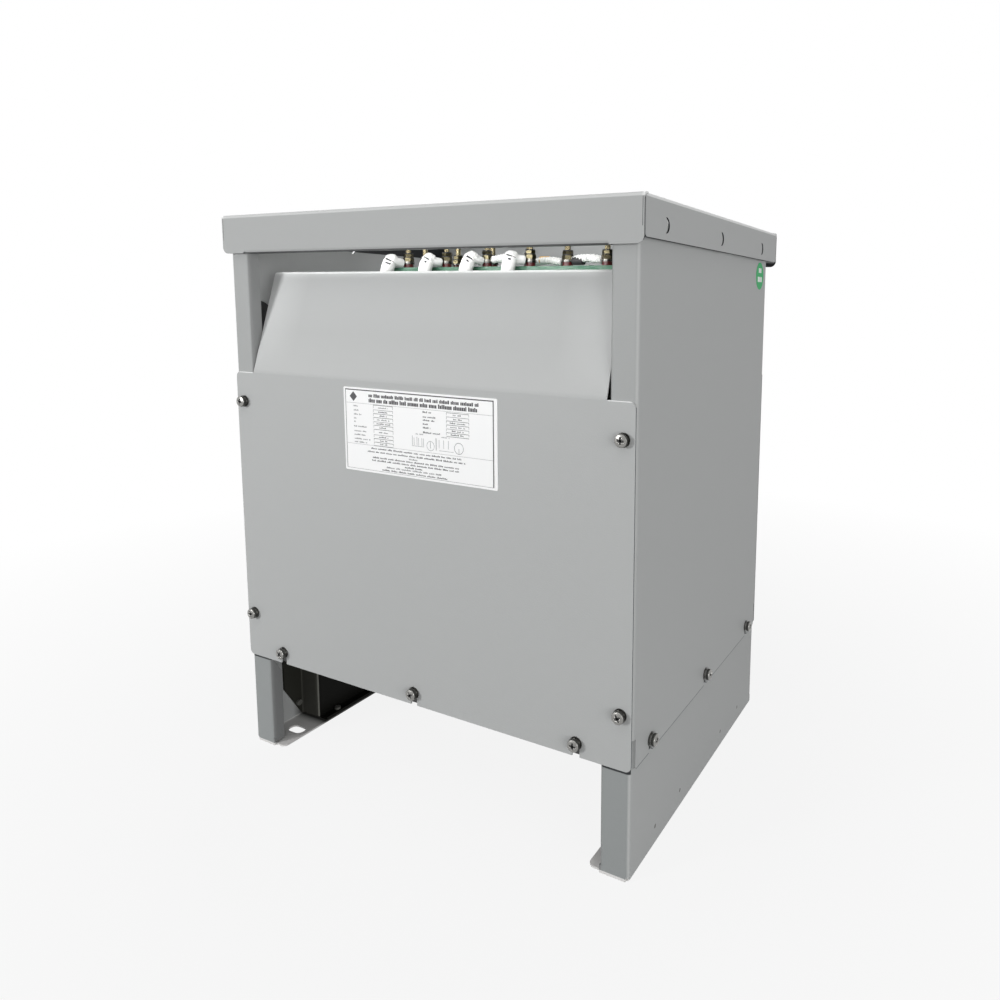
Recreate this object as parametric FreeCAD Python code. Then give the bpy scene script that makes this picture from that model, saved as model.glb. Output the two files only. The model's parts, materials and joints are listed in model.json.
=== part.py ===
import FreeCAD, Part
import math
import os

# Dry-type isolation transformer in a ventilated enclosure of folded sheet steel.
# Millimetres. X runs along the front, the front faces -Y, Z is up.
# The origin lies on the floor, in the middle of the four foot slots.

# Enclosure as a whole
body_width = 501.0  # over the two side panels
body_depth = 355.0  # over the front and rear posts
total_height = 610.0  # floor to the top of the lid
bend_radius = 2.0  # inside radius of every fold
face_gap = 0.3  # between sheets that lie near each other but are not clamped

# Side panels, whose front and rear flanges are the corner posts
side_sheet = 2.0
post_flange = 27.0
post_lip = 13.5
post_foot_rise = 29.5  # posts start this far above the bottom edge of the panels
side_strip_setback = 5.5  # lower strip of the side wall stops short of the post face
side_top_drop = 32.0  # top edge of the side wall below the top of the lid
post_top_drop = 6.0
side_rear_corner = 8.0
side_front_corner = 3.0
side_screw_pitch = 140.0
side_screw_rise = 12.5

# Front and rear panels with their slanted air baffles
panel_sheet = 1.5
panel_bottom = 108.0  # lower edge of all four panels above the floor
panel_edge_setback = 1.0
panel_corner = 6.0
panel_top_drop = 170.5  # fold between panel and baffle, below the top of the lid
baffle_top_drop = 59.6
baffle_lean = 33.8
baffle_side_clearance = 2.0
baffle_lip = 6.5
panel_screw_inset = 12.2
upper_screw_drop = 32.8
lower_screw_rise = 52.0
bottom_screw_inset = 57.5  # outer bottom screws inside the face of the side panels
bottom_screw_rise = 13.0

# Legs and rails
leg_sheet = 2.0
leg_flange = 31.0
leg_lip_cut = 23.0  # drop of the slanting cut at the top of each leg lip
leg_overlap = 28.5  # legs reach this far up behind the panels
foot_width = 44.5
foot_corner = 6.0
slot_width = 13.0
slot_length = 22.0
slot_inset_x = 27.8  # slot centre from the outer face of the leg
slot_inset_y = 33.4  # slot centre from the post face
rail_sheet = 2.0
base_rail_rise = 2.5
base_rail_height = 24.0
base_rail_flange = 22.0
rail_end_gap = 2.5
top_rail_height = 36.5
top_rail_flange = 25.0
top_rail_lip = 10.0
rail_rivet_inset = 10.0

# Lid
lid_sheet = 1.5
lid_side_overhang = 6.0
lid_front_overhang = 4.8
lid_rear_overhang = 19.3
lid_side_flange = 35.4
lid_front_flange = 41.0
lid_lip = 12.0
lid_seam = 0.6
lid_corner = 7.0
lid_side_corner = 3.0
crescent_radius = 6.8
crescent_width = 4.6
crescent_pitch = 137.0
crescent_drop = 22.9
crescent_shift = -2.0

# Fasteners of the enclosure: M6 pan head screws with a spring washer and a flat washer
screw_radius = 3.0
screw_hole = 3.6
screw_slot = 4.0
head_radius = 6.0
head_height = 4.4
flat_washer_radius = 6.5
flat_washer_height = 1.2
spring_washer_radius = 5.2
spring_washer_height = 1.6
spring_washer_split = 0.8
washer_fit = 0.15
nut_fit = 0.05  # every nut on its thread
weld_nut_flats = 10.0
weld_nut_height = 5.0
thread_reach = 12.0  # screw length behind the face of the panel
clip_width = 14.0
clip_barrel = 4.6
clip_barrel_length = 3.5
clip_rise = 19.0
rivet_radius = 2.0
rivet_head_radius = 4.0
rivet_head_height = 1.2

# Nameplate, sticker and blanking grommet
plate_width = 193.0
plate_height = 86.0
plate_sheet = 0.5
plate_shift = 11.9
plate_drop = 6.8  # top edge of the plate below the panel fold
plate_corner = 1.5
sticker_width = 28.0
sticker_height = 32.0
sticker_sheet = 0.3
sticker_rear_inset = 27.2  # sticker centre inside the rear post face
sticker_drop = 54.0
grommet_hole = 17.0
grommet_fit = 0.1
grommet_outer = 19.5
grommet_inner = 18.0
grommet_rim = 1.8
grommet_front_inset = 27.5  # grommet centre behind the front post face
grommet_drop = 109.5

# Core brackets that stand on the feet
bracket_sheet = 3.0
bracket_ear = 25.0
bracket_depth = 31.0  # from the leg wall to the inner face
bracket_width = 49.0
bracket_place_y = 91.5
bracket_height = 128.0
bracket_ear_height = 98.0
bracket_ear_cut = 48.0
bracket_floor_gap = 2.2  # clears the fold of the foot
bracket_tab = 11.0
bracket_bar_setback = 3.0  # bar starts this far behind the front of the hat section
bracket_bar_height = 24.0
bracket_bolt_rise = 18.0
bracket_bolt_inset = 6.0
bracket_bolt_radius = 2.0
bracket_bolt_head = 3.6
bracket_bolt_head_height = 2.6
bracket_bolt_fit = 0.1

# Isolation pads and hold-down bolts
pad_height = 10.0
pad_inset = 2.0
pad_bolt_radius = 4.0
pad_bolt_fit = 0.2
pad_nut_flats = 13.0
pad_nut_height = 6.5

# Laminated core
stack_depth = 96.0
yoke_height = 50.0
core_rise = 2.0  # underside of the core above the underside of the lower clamps

# Windings
tube_gap = 1.0
tube_wall = 2.5
tube_corner = 2.0
inner_build = 13.0
side_duct = 6.0
face_duct = 12.0
outer_build = 12.0
coil_gap = 3.0
winding_corner = 9.0
end_block = 8.0
end_block_depth = 60.0
stick_width = 8.0
stick_pitch = 26.0
outer_end_step = 6.0  # outer winding is shorter than the inner one at each end

# Clamps, strips and tie rods
clamp_sheet = 4.0
clamp_web = 50.0
lower_clamp_foot = 62.0
upper_clamp_flange = 50.0
lower_clamp_end = 10.0  # clamp end short of the side panel outer face
upper_clamp_end = 25.0
strip_sheet = 2.0
cross_bolt_radius = 5.0
cross_bolt_gap = 12.0
rod_radius = 5.0
rod_place_y = 80.0
rod_wall_gap = 45.5  # tie rod inside the face of the side panel
rod_coil_gap = 11.5
rod_nut_flats = 15.0
rod_nut_height = 8.0
rod_end = 5.0
bolt_fit = 0.15

# Terminals
board_drop = 54.7  # top of the board below the top of the lid
board_sheet = 10.0
board_depth = 50.0
board_corner = 3.0
board_front = 56.5  # front edge of the board behind the post face
board_length = 290.0
board_wall_gap = 38.5
lead_room = 87.3  # between the upper clamps and the board
support_sheet = 3.0
support_width = 40.0
support_front_inset = 24.0
support_flange = 24.0
stud_radius = 3.0
stud_length = 42.0
stud_fit = 0.1
front_row_inset = 11.0
rear_row_inset = 37.0
stud_end_inset = 20.0
main_pitch = 52.0
end_pitch = 43.0
rear_pitch = 45.6
insulator_radius = 5.0
insulator_height = 4.0
stack_washer_radius = 6.0
stack_washer_height = 1.2
lug_radius = 6.0
lug_sheet = 1.5
lug_tongue = 7.0
eyelet_sheet = 1.0
eyelet_radius = 5.2
stud_nut_flats = 10.0
stud_nut_height = 5.0
jam_nut_height = 4.0
sleeve_radius = 6.6
lead_stand_off = 21.2  # rising lead in front of the stud row
lead_side_step = 12.0
lead_first_rise = 26.0
lead_swing = 31.0
lead_clamp_gap = 10.0
lead_straight = 30.0
jumper_radius = 3.5
jumper_wire = 1.8
jumper_end_gap = 10.0
jumper_fit = 0.1
support_screw_radius = 2.5
support_screw_head = 4.5
support_screw_inset = 18.0

# Earth stud on the left leg
earth_radius = 4.0
earth_reach = 24.0
earth_height = 60.0
earth_nut_flats = 13.0
earth_nut_height = 6.0
earth_nut_gap = 3.0

# Values that follow from the ones above
half_width = body_width / 2
half_depth = body_depth / 2
outer_bend = bend_radius + side_sheet
post_inner = half_width - post_flange
side_top = total_height - side_top_drop
post_bottom = panel_bottom + post_foot_rise
post_top = total_height - post_top_drop
panel_top = total_height - panel_top_drop
panel_half = half_width - panel_edge_setback
panel_face = half_depth + panel_sheet
baffle_top = total_height - baffle_top_drop
baffle_half = post_inner - baffle_side_clearance
panel_screw_x = half_width - panel_screw_inset
panel_screw_heights = (panel_bottom + lower_screw_rise, panel_top - upper_screw_drop)
bottom_screw_reach = half_width - bottom_screw_inset
bottom_screw_places = (-bottom_screw_reach, 0.0, bottom_screw_reach)
bottom_screw_height = panel_bottom + bottom_screw_rise
side_screw_places = (-side_screw_pitch, 0.0, side_screw_pitch)
side_screw_height = panel_bottom + side_screw_rise
leg_outer = half_width - side_sheet
leg_inner = leg_outer - leg_flange
leg_wall = leg_outer - leg_sheet
leg_top = panel_bottom + leg_overlap
rail_face = half_depth - leg_sheet
washer_bore = screw_radius + washer_fit
nut_bore = screw_radius + nut_fit
grommet_y = -half_depth + grommet_front_inset
sticker_y = half_depth - sticker_rear_inset
base_rail_bottom = panel_bottom + base_rail_rise
clip_sheet = leg_sheet  # fills the gap between the rail and the panel
top_rail_top = total_height - lid_sheet
top_rail_bottom = top_rail_top - top_rail_height
lid_half = half_width + lid_side_overhang
lid_front = half_depth + lid_front_overhang
lid_rear = half_depth + lid_rear_overhang
bracket_face = leg_wall - bracket_depth
bracket_near = bracket_place_y - bracket_width / 2
bracket_far = bracket_place_y + bracket_width / 2
pad_x = (leg_wall + bracket_face - bracket_sheet) / 2
clamp_bottom = bracket_height + pad_height
yoke_bottom = clamp_bottom + core_rise
window_bottom = yoke_bottom + yoke_height
board_top = total_height - board_drop
board_bottom = board_top - board_sheet
clamp_top = board_bottom - lead_room
core_top = clamp_top - core_rise
window_top = core_top - yoke_height
stack_half = stack_depth / 2
clamp_face = stack_half + strip_sheet
coil_bottom = window_bottom + end_block
coil_top = window_top - end_block
rod_x = half_width - rod_wall_gap
coil_x = (rod_x - rod_coil_gap - coil_gap) / 3
outer_x = coil_x - outer_build
duct_x = outer_x - side_duct
inner_x = duct_x - inner_build
tube_x = inner_x - tube_wall
leg_width = 2 * (tube_x - tube_gap)
leg_pitch = 2 * coil_x + coil_gap
core_half = leg_pitch + leg_width / 2
tube_y = stack_half + tube_gap
inner_y = tube_y + tube_wall
duct_y = inner_y + inner_build
outer_y = duct_y + face_duct
board_right = half_width - board_wall_gap
board_left = board_right - board_length
first_stud = board_left + stud_end_inset
board_front_y = -half_depth + board_front
front_row = board_front_y + front_row_inset
rear_row = board_front_y + rear_row_inset
insulator_top = board_top + insulator_height


def vector(plane, u, v, level):
    # A point of a drawing plane, lifted to a level along the plane's normal.
    if plane == "xy":
        return FreeCAD.Vector(u, v, level)
    if plane == "xz":
        return FreeCAD.Vector(u, level, v)
    return FreeCAD.Vector(level, u, v)


def box(x0, x1, y0, y1, z0, z1):
    low = FreeCAD.Vector(min(x0, x1), min(y0, y1), min(z0, z1))
    return Part.makeBox(abs(x1 - x0), abs(y1 - y0), abs(z1 - z0), low)


def outline(plane, level, points, radii):
    # Closed wire through the points, each corner rounded by its own radius.
    edges = []
    arcs = []
    count = len(points)
    for i in range(count):
        here = vector(plane, *points[i], level)
        back = vector(plane, *points[i - 1], level) - here
        ahead = vector(plane, *points[(i + 1) % count], level) - here
        if radii[i] <= 0:
            arcs.append((here, None, here))
            continue
        half_turn = (math.pi - back.getAngle(ahead)) / 2
        back.normalize()
        ahead.normalize()
        cut = radii[i] * math.tan(half_turn)
        middle = back + ahead
        middle.normalize()
        reach = radii[i] / math.cos(half_turn) - radii[i]
        arcs.append((here + back * cut, here + middle * reach, here + ahead * cut))
    for i in range(count):
        start, middle, end = arcs[i]
        if middle is not None:
            edges.append(Part.Arc(start, middle, end).toShape())
        following = arcs[(i + 1) % count][0]
        if (following - end).Length > 1e-6:
            edges.append(Part.LineSegment(end, following).toShape())
    return Part.Wire(edges)


def prism(plane, start, end, points, radius=0.0):
    # Extruded outline; the radius is one number, or one for each corner.
    radii = radius if isinstance(radius, (list, tuple)) else [radius] * len(points)
    face = Part.Face(outline(plane, start, points, radii))
    return face.extrude(vector(plane, 0, 0, end - start))


def folded(plane, start, end, path, sheet):
    # Sheet folded along a path of flat faces, its thickness on the right of the path.
    ways = []
    for a, b in zip(path, path[1:]):
        length = math.hypot(b[0] - a[0], b[1] - a[1])
        ways.append(((b[0] - a[0]) / length, (b[1] - a[1]) / length))
    rights = [(way[1], -way[0]) for way in ways]
    near_radii = [0.0]
    far_radii = [0.0]
    far = [(path[0][0] + rights[0][0] * sheet, path[0][1] + rights[0][1] * sheet)]
    for i in range(1, len(path) - 1):
        before, after = rights[i - 1], rights[i]
        reach = sheet / (1 + before[0] * after[0] + before[1] * after[1])
        far.append((path[i][0] + (before[0] + after[0]) * reach,
                    path[i][1] + (before[1] + after[1]) * reach))
        turn = ways[i - 1][0] * ways[i][1] - ways[i - 1][1] * ways[i][0]
        near_radii.append(bend_radius + sheet if turn < 0 else bend_radius)
        far_radii.append(bend_radius if turn < 0 else bend_radius + sheet)
    last, right = path[-1], rights[-1]
    far.append((last[0] + right[0] * sheet, last[1] + right[1] * sheet))
    near_radii.append(0.0)
    far_radii.append(0.0)
    return prism(plane, start, end, list(path) + far[::-1], near_radii + far_radii[::-1])


def rectangle(u0, u1, v0, v1):
    return [(u0, v0), (u1, v0), (u1, v1), (u0, v1)]


def cylinder(axis, centre, radius, start, end):
    # The centre is given by the two coordinates that are not along the axis.
    plane = {"z": "xy", "y": "xz", "x": "yz"}[axis]
    base = vector(plane, centre[0], centre[1], min(start, end))
    return Part.makeCylinder(radius, abs(end - start), base, vector(plane, 0, 0, 1))


def ring(axis, centre, outer, inner, start, end):
    body = cylinder(axis, centre, outer, start, end)
    return body.cut(cylinder(axis, centre, inner, start, end))


def hexagon(axis, centre, flats, bore, start, end):
    plane = {"z": "xy", "y": "xz", "x": "yz"}[axis]
    corner = flats / math.sqrt(3)
    points = [(centre[0] + corner * math.cos(math.radians(60 * k)),
               centre[1] + corner * math.sin(math.radians(60 * k))) for k in range(6)]
    return prism(plane, start, end, points).cut(cylinder(axis, centre, bore, start, end))


def corner_tool(plane, start, end, corner, inward, radius):
    # What is cut away to round one square corner; inward gives the signs towards the sheet.
    u0, v0 = corner
    u1 = u0 + inward[0] * radius
    v1 = v0 + inward[1] * radius
    block = prism(plane, start, end, rectangle(min(u0, u1), max(u0, u1), min(v0, v1), max(v0, v1)))
    axis = {"xy": "z", "xz": "y", "yz": "x"}[plane]
    return block.cut(cylinder(axis, (u1, v1), radius, start, end))


def open_slot(plane, start, end, centre, bottom, radius):
    # Slot that runs down from a round top at the centre and out through the edge below it.
    axis = {"xz": "y", "yz": "x"}[plane]
    u, v = centre
    shaft = prism(plane, start, end, rectangle(u - radius, u + radius, bottom, v))
    return shaft.fuse(cylinder(axis, centre, radius, start, end))


def joined(shapes):
    whole = shapes[0]
    if len(shapes) > 1:
        whole = shapes[0].fuse(shapes[1:])
    return whole.removeSplitter()


def mirrored(shape, normal):
    return shape.mirror(FreeCAD.Vector(0, 0, 0), FreeCAD.Vector(*normal))


def four(shape):
    # A shape of the front left and its images in the three other corners.
    pair = [shape, mirrored(shape, (1, 0, 0))]
    return pair + [mirrored(item, (0, 1, 0)) for item in pair]


def save(name, shapes):
    solids = []
    for shape in shapes if isinstance(shapes, (list, tuple)) else [shapes]:
        solids += shape.Solids
    whole = solids[0] if len(solids) == 1 else Part.makeCompound(solids)
    whole.exportStep("parts/" + name + ".step")
    print(name, len(solids), round(sum(solid.Volume for solid in solids)))


def side_panel(with_grommet_hole):
    # Left side panel: wall, two post flanges with return lips, and a flat strip below them.
    path = [(-post_inner, -half_depth + post_lip), (-post_inner, -half_depth),
            (-half_width, -half_depth), (-half_width, half_depth),
            (-post_inner, half_depth), (-post_inner, half_depth - post_lip)]
    panel = folded("xy", post_bottom, post_top, path, side_sheet)
    wall_inner = -half_width + side_sheet
    strip_half = half_depth - side_strip_setback
    strip = box(-half_width, wall_inner, -strip_half, strip_half, panel_bottom,
                post_bottom + outer_bend)
    panel = joined([panel, strip])
    tools = [
        corner_tool("yz", -half_width - 1, wall_inner + 1, (-strip_half, panel_bottom), (1, 1),
                    side_front_corner),
        corner_tool("yz", -half_width - 1, wall_inner + 1, (strip_half, panel_bottom), (-1, 1),
                    side_rear_corner),
        box(-half_width - 1, wall_inner + bend_radius + 1, -half_depth + outer_bend,
            half_depth - outer_bend, side_top, post_top + 1),
    ]
    for sign in (-1, 1):
        lip_end = sign * (half_depth - post_lip - 1)
        tools.append(box(-post_inner - outer_bend, -post_inner + 1, sign * rail_face, lip_end,
                         top_rail_bottom - face_gap, post_top + 1))
        flange_span = (sign * (half_depth + 1), sign * (half_depth - side_sheet - 1))
        for height in panel_screw_heights:
            tools.append(cylinder("y", (-panel_screw_x, height), screw_hole, *flange_span))
        tools.append(cylinder("y", rivet_place(), rivet_radius, *flange_span))
    for place in side_screw_places:
        tools.append(open_slot("yz", -half_width - 1, wall_inner + 1,
                               (place, side_screw_height), panel_bottom - 1, screw_slot))
    if with_grommet_hole:
        tools.append(cylinder("x", (grommet_y, total_height - grommet_drop),
                              grommet_hole + grommet_fit, -half_width - 1, wall_inner + 1))
    return panel.cut(tools)


def rivet_place():
    # Rivet between a post and the top rail, as X and Z on the left.
    return (-half_width + rail_rivet_inset + bend_radius, top_rail_top - top_rail_height / 2)


def leg_frame():
    # Left leg: wall, front and rear flanges with return lips, and the foot flange.
    lipped = [(-leg_inner, -half_depth + post_lip), (-leg_inner, -half_depth),
              (-leg_outer, -half_depth), (-leg_outer, half_depth),
              (-leg_inner, half_depth), (-leg_inner, half_depth - post_lip)]
    foot_bend = bend_radius + leg_sheet
    foot_half = half_depth - leg_sheet - face_gap
    foot_inner = leg_outer - foot_width
    pieces = [
        folded("xy", foot_bend, panel_bottom, lipped, leg_sheet),
        folded("xy", panel_bottom - 1, leg_top, lipped[1:-1], leg_sheet),
        folded("xz", -foot_half, foot_half,
               [(-foot_inner, 0), (-leg_outer, 0), (-leg_outer, 3 * foot_bend)], leg_sheet),
    ]
    tools = []
    for sign in (-1, 1):
        face = sign * half_depth
        pieces.append(box(-leg_outer + foot_bend, -leg_inner, face, face - sign * leg_sheet,
                          0, 2 * foot_bend))
        lip_end = face - sign * (post_lip + 1)
        cut_top = panel_bottom + 1
        lip_cut = prism("yz", -leg_inner - foot_bend, -leg_inner + 1,
                        [(face - sign * leg_sheet, panel_bottom), (lip_end, panel_bottom - leg_lip_cut),
                         (lip_end, cut_top), (face - sign * leg_sheet, cut_top)])
        tools.append(lip_cut.cut(box(-leg_outer, 0, -half_depth, half_depth, panel_bottom, cut_top)))
        tools.append(corner_tool("xy", -1, leg_sheet + 1, (-foot_inner, sign * foot_half),
                                 (-1, -sign), foot_corner))
        tools.append(foot_slot(sign))
        for place in bracket_ear_bolts():
            tools.append(cylinder("x", (-sign * place, bracket_bolt_height()),
                                  bracket_bolt_radius + bracket_bolt_fit, -leg_outer - 1, -leg_wall + 1))
        tools.append(cylinder("z", bracket_tab_bolt(sign), bracket_bolt_radius + bracket_bolt_fit,
                              -1, leg_sheet + 1))
    for place in side_screw_places:
        tools.append(cylinder("x", (place, side_screw_height), screw_hole, -leg_outer - 1, -leg_wall + 1))
    return joined(pieces).cut(tools)


def foot_slot(sign):
    x = -(leg_outer - slot_inset_x)
    y = sign * (half_depth - slot_inset_y)
    half = (slot_length - slot_width) / 2
    radius = slot_width / 2
    body = box(x - half, x + half, y - radius, y + radius, -1, leg_sheet + 1)
    ends = [cylinder("z", (x + side * half, y), radius, -1, leg_sheet + 1) for side in (-1, 1)]
    return body.fuse(ends)


def bracket_bolt_height():
    return leg_sheet + bracket_bolt_rise


def bracket_ear_bolts():
    # Y of the two bolts through the ears of the front brackets.
    return (-bracket_far - bracket_bolt_inset, -bracket_near + bracket_bolt_inset)


def bracket_tab_bolt(sign):
    # Bolt through the tab on the foot, as X and Y on the left.
    return (-bracket_face + bracket_tab / 2, sign * bracket_place_y)


def base_rail():
    # Front rail between the legs, an angle whose lower edge carries the clip nuts.
    end = leg_wall - rail_end_gap
    top = base_rail_bottom + base_rail_height
    path = [(-rail_face, base_rail_bottom), (-rail_face, top), (-rail_face + base_rail_flange, top)]
    rail = folded("yz", -end, end, path, rail_sheet)
    tools = [cylinder("y", (x, bottom_screw_height), screw_hole, -half_depth, -rail_face + rail_sheet + 1)
             for x in bottom_screw_places]
    return rail.cut(tools)


def top_rail():
    # Front rail between the posts; the lid lies on its upper flange.
    end = leg_outer - rail_end_gap
    path = [(-rail_face + top_rail_lip, top_rail_bottom), (-rail_face, top_rail_bottom),
            (-rail_face, top_rail_top), (-rail_face + top_rail_flange, top_rail_top)]
    rail = folded("yz", -end, end, path, rail_sheet)
    place = rivet_place()
    tools = [cylinder("y", (side * place[0], place[1]), rivet_radius, -half_depth,
                      -rail_face + rail_sheet + 1) for side in (-1, 1)]
    return rail.cut(tools)


def cover_panel():
    # Front panel: flat sheet with three open slots below, narrowed and folded back as a baffle above.
    face = -panel_face
    flat = prism("xz", face, -half_depth, rectangle(-panel_half, panel_half, panel_bottom, panel_top),
                 panel_corner)
    below_fold = panel_top - 3 * panel_corner
    path = [(face, below_fold), (face, panel_top), (face + baffle_lean, baffle_top),
            (face + baffle_lean + baffle_lip, baffle_top)]
    baffle = folded("yz", -baffle_half, baffle_half, path, panel_sheet)
    # The flat sheet ends where the fold begins, so that the fold keeps its curve.
    fold_zone = box(-baffle_half, baffle_half, face - 1, -half_depth + 1, below_fold, panel_top + 1)
    panel = joined([flat.cut(fold_zone), baffle])
    tools = []
    for x in bottom_screw_places:
        tools.append(open_slot("xz", face - 1, -half_depth + 1, (x, bottom_screw_height),
                               panel_bottom - 1, screw_slot))
    for side in (-1, 1):
        for height in panel_screw_heights:
            tools.append(cylinder("y", (side * panel_screw_x, height), screw_hole, face - 1,
                                  -half_depth + 1))
    return panel.cut(tools)


def lid():
    # One pan: flat top, four flanges with open corner seams, return lips in front and at the rear.
    top = total_height
    bend = bend_radius + lid_sheet
    reach = 2 * bend
    pieces = [box(-lid_half + bend, lid_half - bend, -lid_front + bend, lid_rear - bend,
                  top - lid_sheet, top)]
    tools = []
    low = top - lid_front_flange
    for face, sign in ((-lid_front, 1), (lid_rear, -1)):
        path = [(face, low), (face, top), (face + sign * reach, top)]
        lip = [(face, low + reach), (face, low), (face + sign * lid_lip, low)]
        if sign > 0:
            lip = lip[::-1]
        else:
            path = path[::-1]
        lip_half = post_inner - face_gap
        flange = folded("yz", -lid_half, lid_half, path, lid_sheet)
        flange = flange.cut(box(-lip_half, lip_half, face - 1, face + sign * lid_lip, low - 1, low + bend))
        pieces += [flange, folded("yz", -lip_half, lip_half, lip, lid_sheet)]
        for side in (-1, 1):
            tools.append(corner_tool("xz", face - sign, face + sign * (lid_sheet + 0.2),
                                     (side * lid_half, low), (-side, 1), lid_corner))
    side_low = top - lid_side_flange
    front_end = -lid_front + lid_sheet + lid_seam
    rear_end = lid_rear - lid_sheet - lid_seam
    for side in (-1, 1):
        face = side * lid_half
        inner = face - side * lid_sheet
        path = [(face, side_low), (face, top), (face - side * reach, top)]
        if side > 0:
            path = path[::-1]
        pieces.append(folded("xz", -lid_front + bend, lid_rear - bend, path, lid_sheet))
        pieces.append(box(face, inner, front_end, rear_end, side_low, top - bend))
        span = (face + side, inner - side)
        tools.append(corner_tool("yz", *span, (front_end, side_low), (1, 1), lid_side_corner))
        tools.append(corner_tool("yz", *span, (rear_end, side_low), (-1, 1), lid_side_corner))
        for k in (-1, 0, 1):
            tools.append(crescent(span, k * crescent_pitch + crescent_shift))
    return joined(pieces).cut(tools)


def crescent(span, y):
    # Moon-shaped opening, its round side to the rear.
    z = total_height - crescent_drop
    inner = 1.2 * crescent_radius
    centre = y + crescent_radius - crescent_width - inner
    return cylinder("x", (y, z), crescent_radius, *span).cut(cylinder("x", (centre, z), inner, *span))


def screw_set(axis, places, face, outward, reach):
    # Screws, spring washers and flat washers on one face; outward is the sign of its normal.
    flat_end = face + outward * flat_washer_height
    spring_end = flat_end + outward * spring_washer_height
    screws, springs, flats = [], [], []
    for place in places:
        head = cylinder(axis, place, head_radius, spring_end, spring_end + outward * head_height)
        rims = [edge for edge in head.Edges
                if edge.Closed and abs(axis_value(axis, edge) - spring_end) > head_height / 2]
        head = head.makeFillet(head_height / 3, rims)
        shank = cylinder(axis, place, screw_radius, spring_end, face - outward * reach)
        screws.append(head.fuse(shank))
        spring = ring(axis, place, spring_washer_radius, washer_bore, flat_end, spring_end)
        springs.append(spring.cut(split_tool(axis, place, flat_end, spring_end)))
        flats.append(ring(axis, place, flat_washer_radius, washer_bore, face, flat_end))
    return screws, springs, flats


def axis_value(axis, edge):
    return getattr(edge.CenterOfMass, axis)


def split_tool(axis, place, start, end):
    # The gap in a spring washer.
    plane = {"y": "xz", "x": "yz"}[axis]
    half = spring_washer_split / 2
    return prism(plane, start, end, rectangle(place[0] - half, place[0] + half, place[1],
                                              place[1] + 2 * spring_washer_radius))


def weld_nut(axis, place, face, inward):
    # Hexagonal nut welded on behind a sheet.
    end = face + inward * weld_nut_height
    return hexagon(axis, place, weld_nut_flats, nut_bore, min(face, end), max(face, end))


def clip_nut(x):
    # U-shaped clip over the lower edge of the front base rail, with a threaded barrel behind.
    front = -rail_face - clip_sheet
    back = -rail_face + rail_sheet + clip_sheet
    low = base_rail_bottom - clip_sheet / 2
    top = low + clip_rise
    points = [(front, low), (back, low), (back, top), (back - clip_sheet, top),
              (back - clip_sheet, base_rail_bottom), (-rail_face, base_rail_bottom),
              (-rail_face, top), (front, top)]
    radii = [clip_sheet / 2, clip_sheet / 2, 0, 0, 0, 0, 0, 0]
    clip = prism("yz", x - clip_width / 2, x + clip_width / 2, points, radii)
    place = (x, bottom_screw_height)
    clip = clip.fuse(cylinder("y", place, clip_barrel, back, back + clip_barrel_length))
    return clip.cut(cylinder("y", place, nut_bore, front - 1, back + clip_barrel_length + 1))


def rivet(side):
    # Rivet through a post flange and the front top rail.
    x, z = rivet_place()
    back = -rail_face + rail_sheet
    head = cylinder("y", (side * x, z), rivet_head_radius, -half_depth - rivet_head_height, -half_depth)
    shank = cylinder("y", (side * x, z), rivet_radius, -half_depth, back)
    tail = cylinder("y", (side * x, z), 0.8 * rivet_head_radius, back, back + rivet_head_height)
    return head.fuse([shank, tail])


def core_bracket():
    # Left bracket: two standing hat sections, each with two ears on the leg wall and a seat folded
    # over its top, on one low bar that lies along the foot.
    wall = -leg_wall + bracket_sheet
    floor = leg_sheet + bracket_floor_gap
    near, far = -bracket_near, -bracket_far
    face = -bracket_face
    path = [(wall, near + bracket_ear), (wall, near), (face, near), (face, far), (wall, far),
            (wall, far - bracket_ear)]
    hat = folded("xy", floor, bracket_height, path, bracket_sheet)
    outer_face = face - bracket_sheet
    seat = box(wall - bracket_sheet, outer_face + bracket_sheet / 2, far + bracket_sheet,
               near - bracket_sheet, bracket_height - bracket_sheet, bracket_height)
    bar = folded("xz", far + bracket_bar_setback, 0,
                 [(face + bracket_tab, leg_sheet), (outer_face, leg_sheet),
                  (outer_face, leg_sheet + bracket_bar_height)], bracket_sheet)
    tools = []
    cut_half = bracket_ear + bracket_sheet
    for start, way in ((far, -1), (near, 1)):
        end = start + way * cut_half
        tools.append(prism("yz", wall - bracket_sheet - 1, wall + 1,
                           [(start, leg_sheet), (end, leg_sheet), (end, leg_sheet + bracket_ear_cut)]))
        tools.append(box(wall - bracket_sheet - 1, wall + 1, start, end, bracket_ear_height,
                         bracket_height + 1))
    for place in bracket_ear_bolts():
        tools.append(cylinder("x", (place, bracket_bolt_height()),
                              bracket_bolt_radius + bracket_bolt_fit, wall - bracket_sheet - 1, wall + 1))
    tools.append(cylinder("z", bracket_tab_bolt(-1), bracket_bolt_radius + bracket_bolt_fit, 0,
                          leg_sheet + bracket_sheet + 1))
    tools.append(cylinder("z", (-pad_x, -bracket_place_y), pad_bolt_radius + pad_bolt_fit,
                          bracket_height - bracket_sheet - 1, bracket_height + 1))
    front = joined([hat, seat, bar]).cut(tools)
    return joined([front, mirrored(front, (0, 1, 0))])


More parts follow.
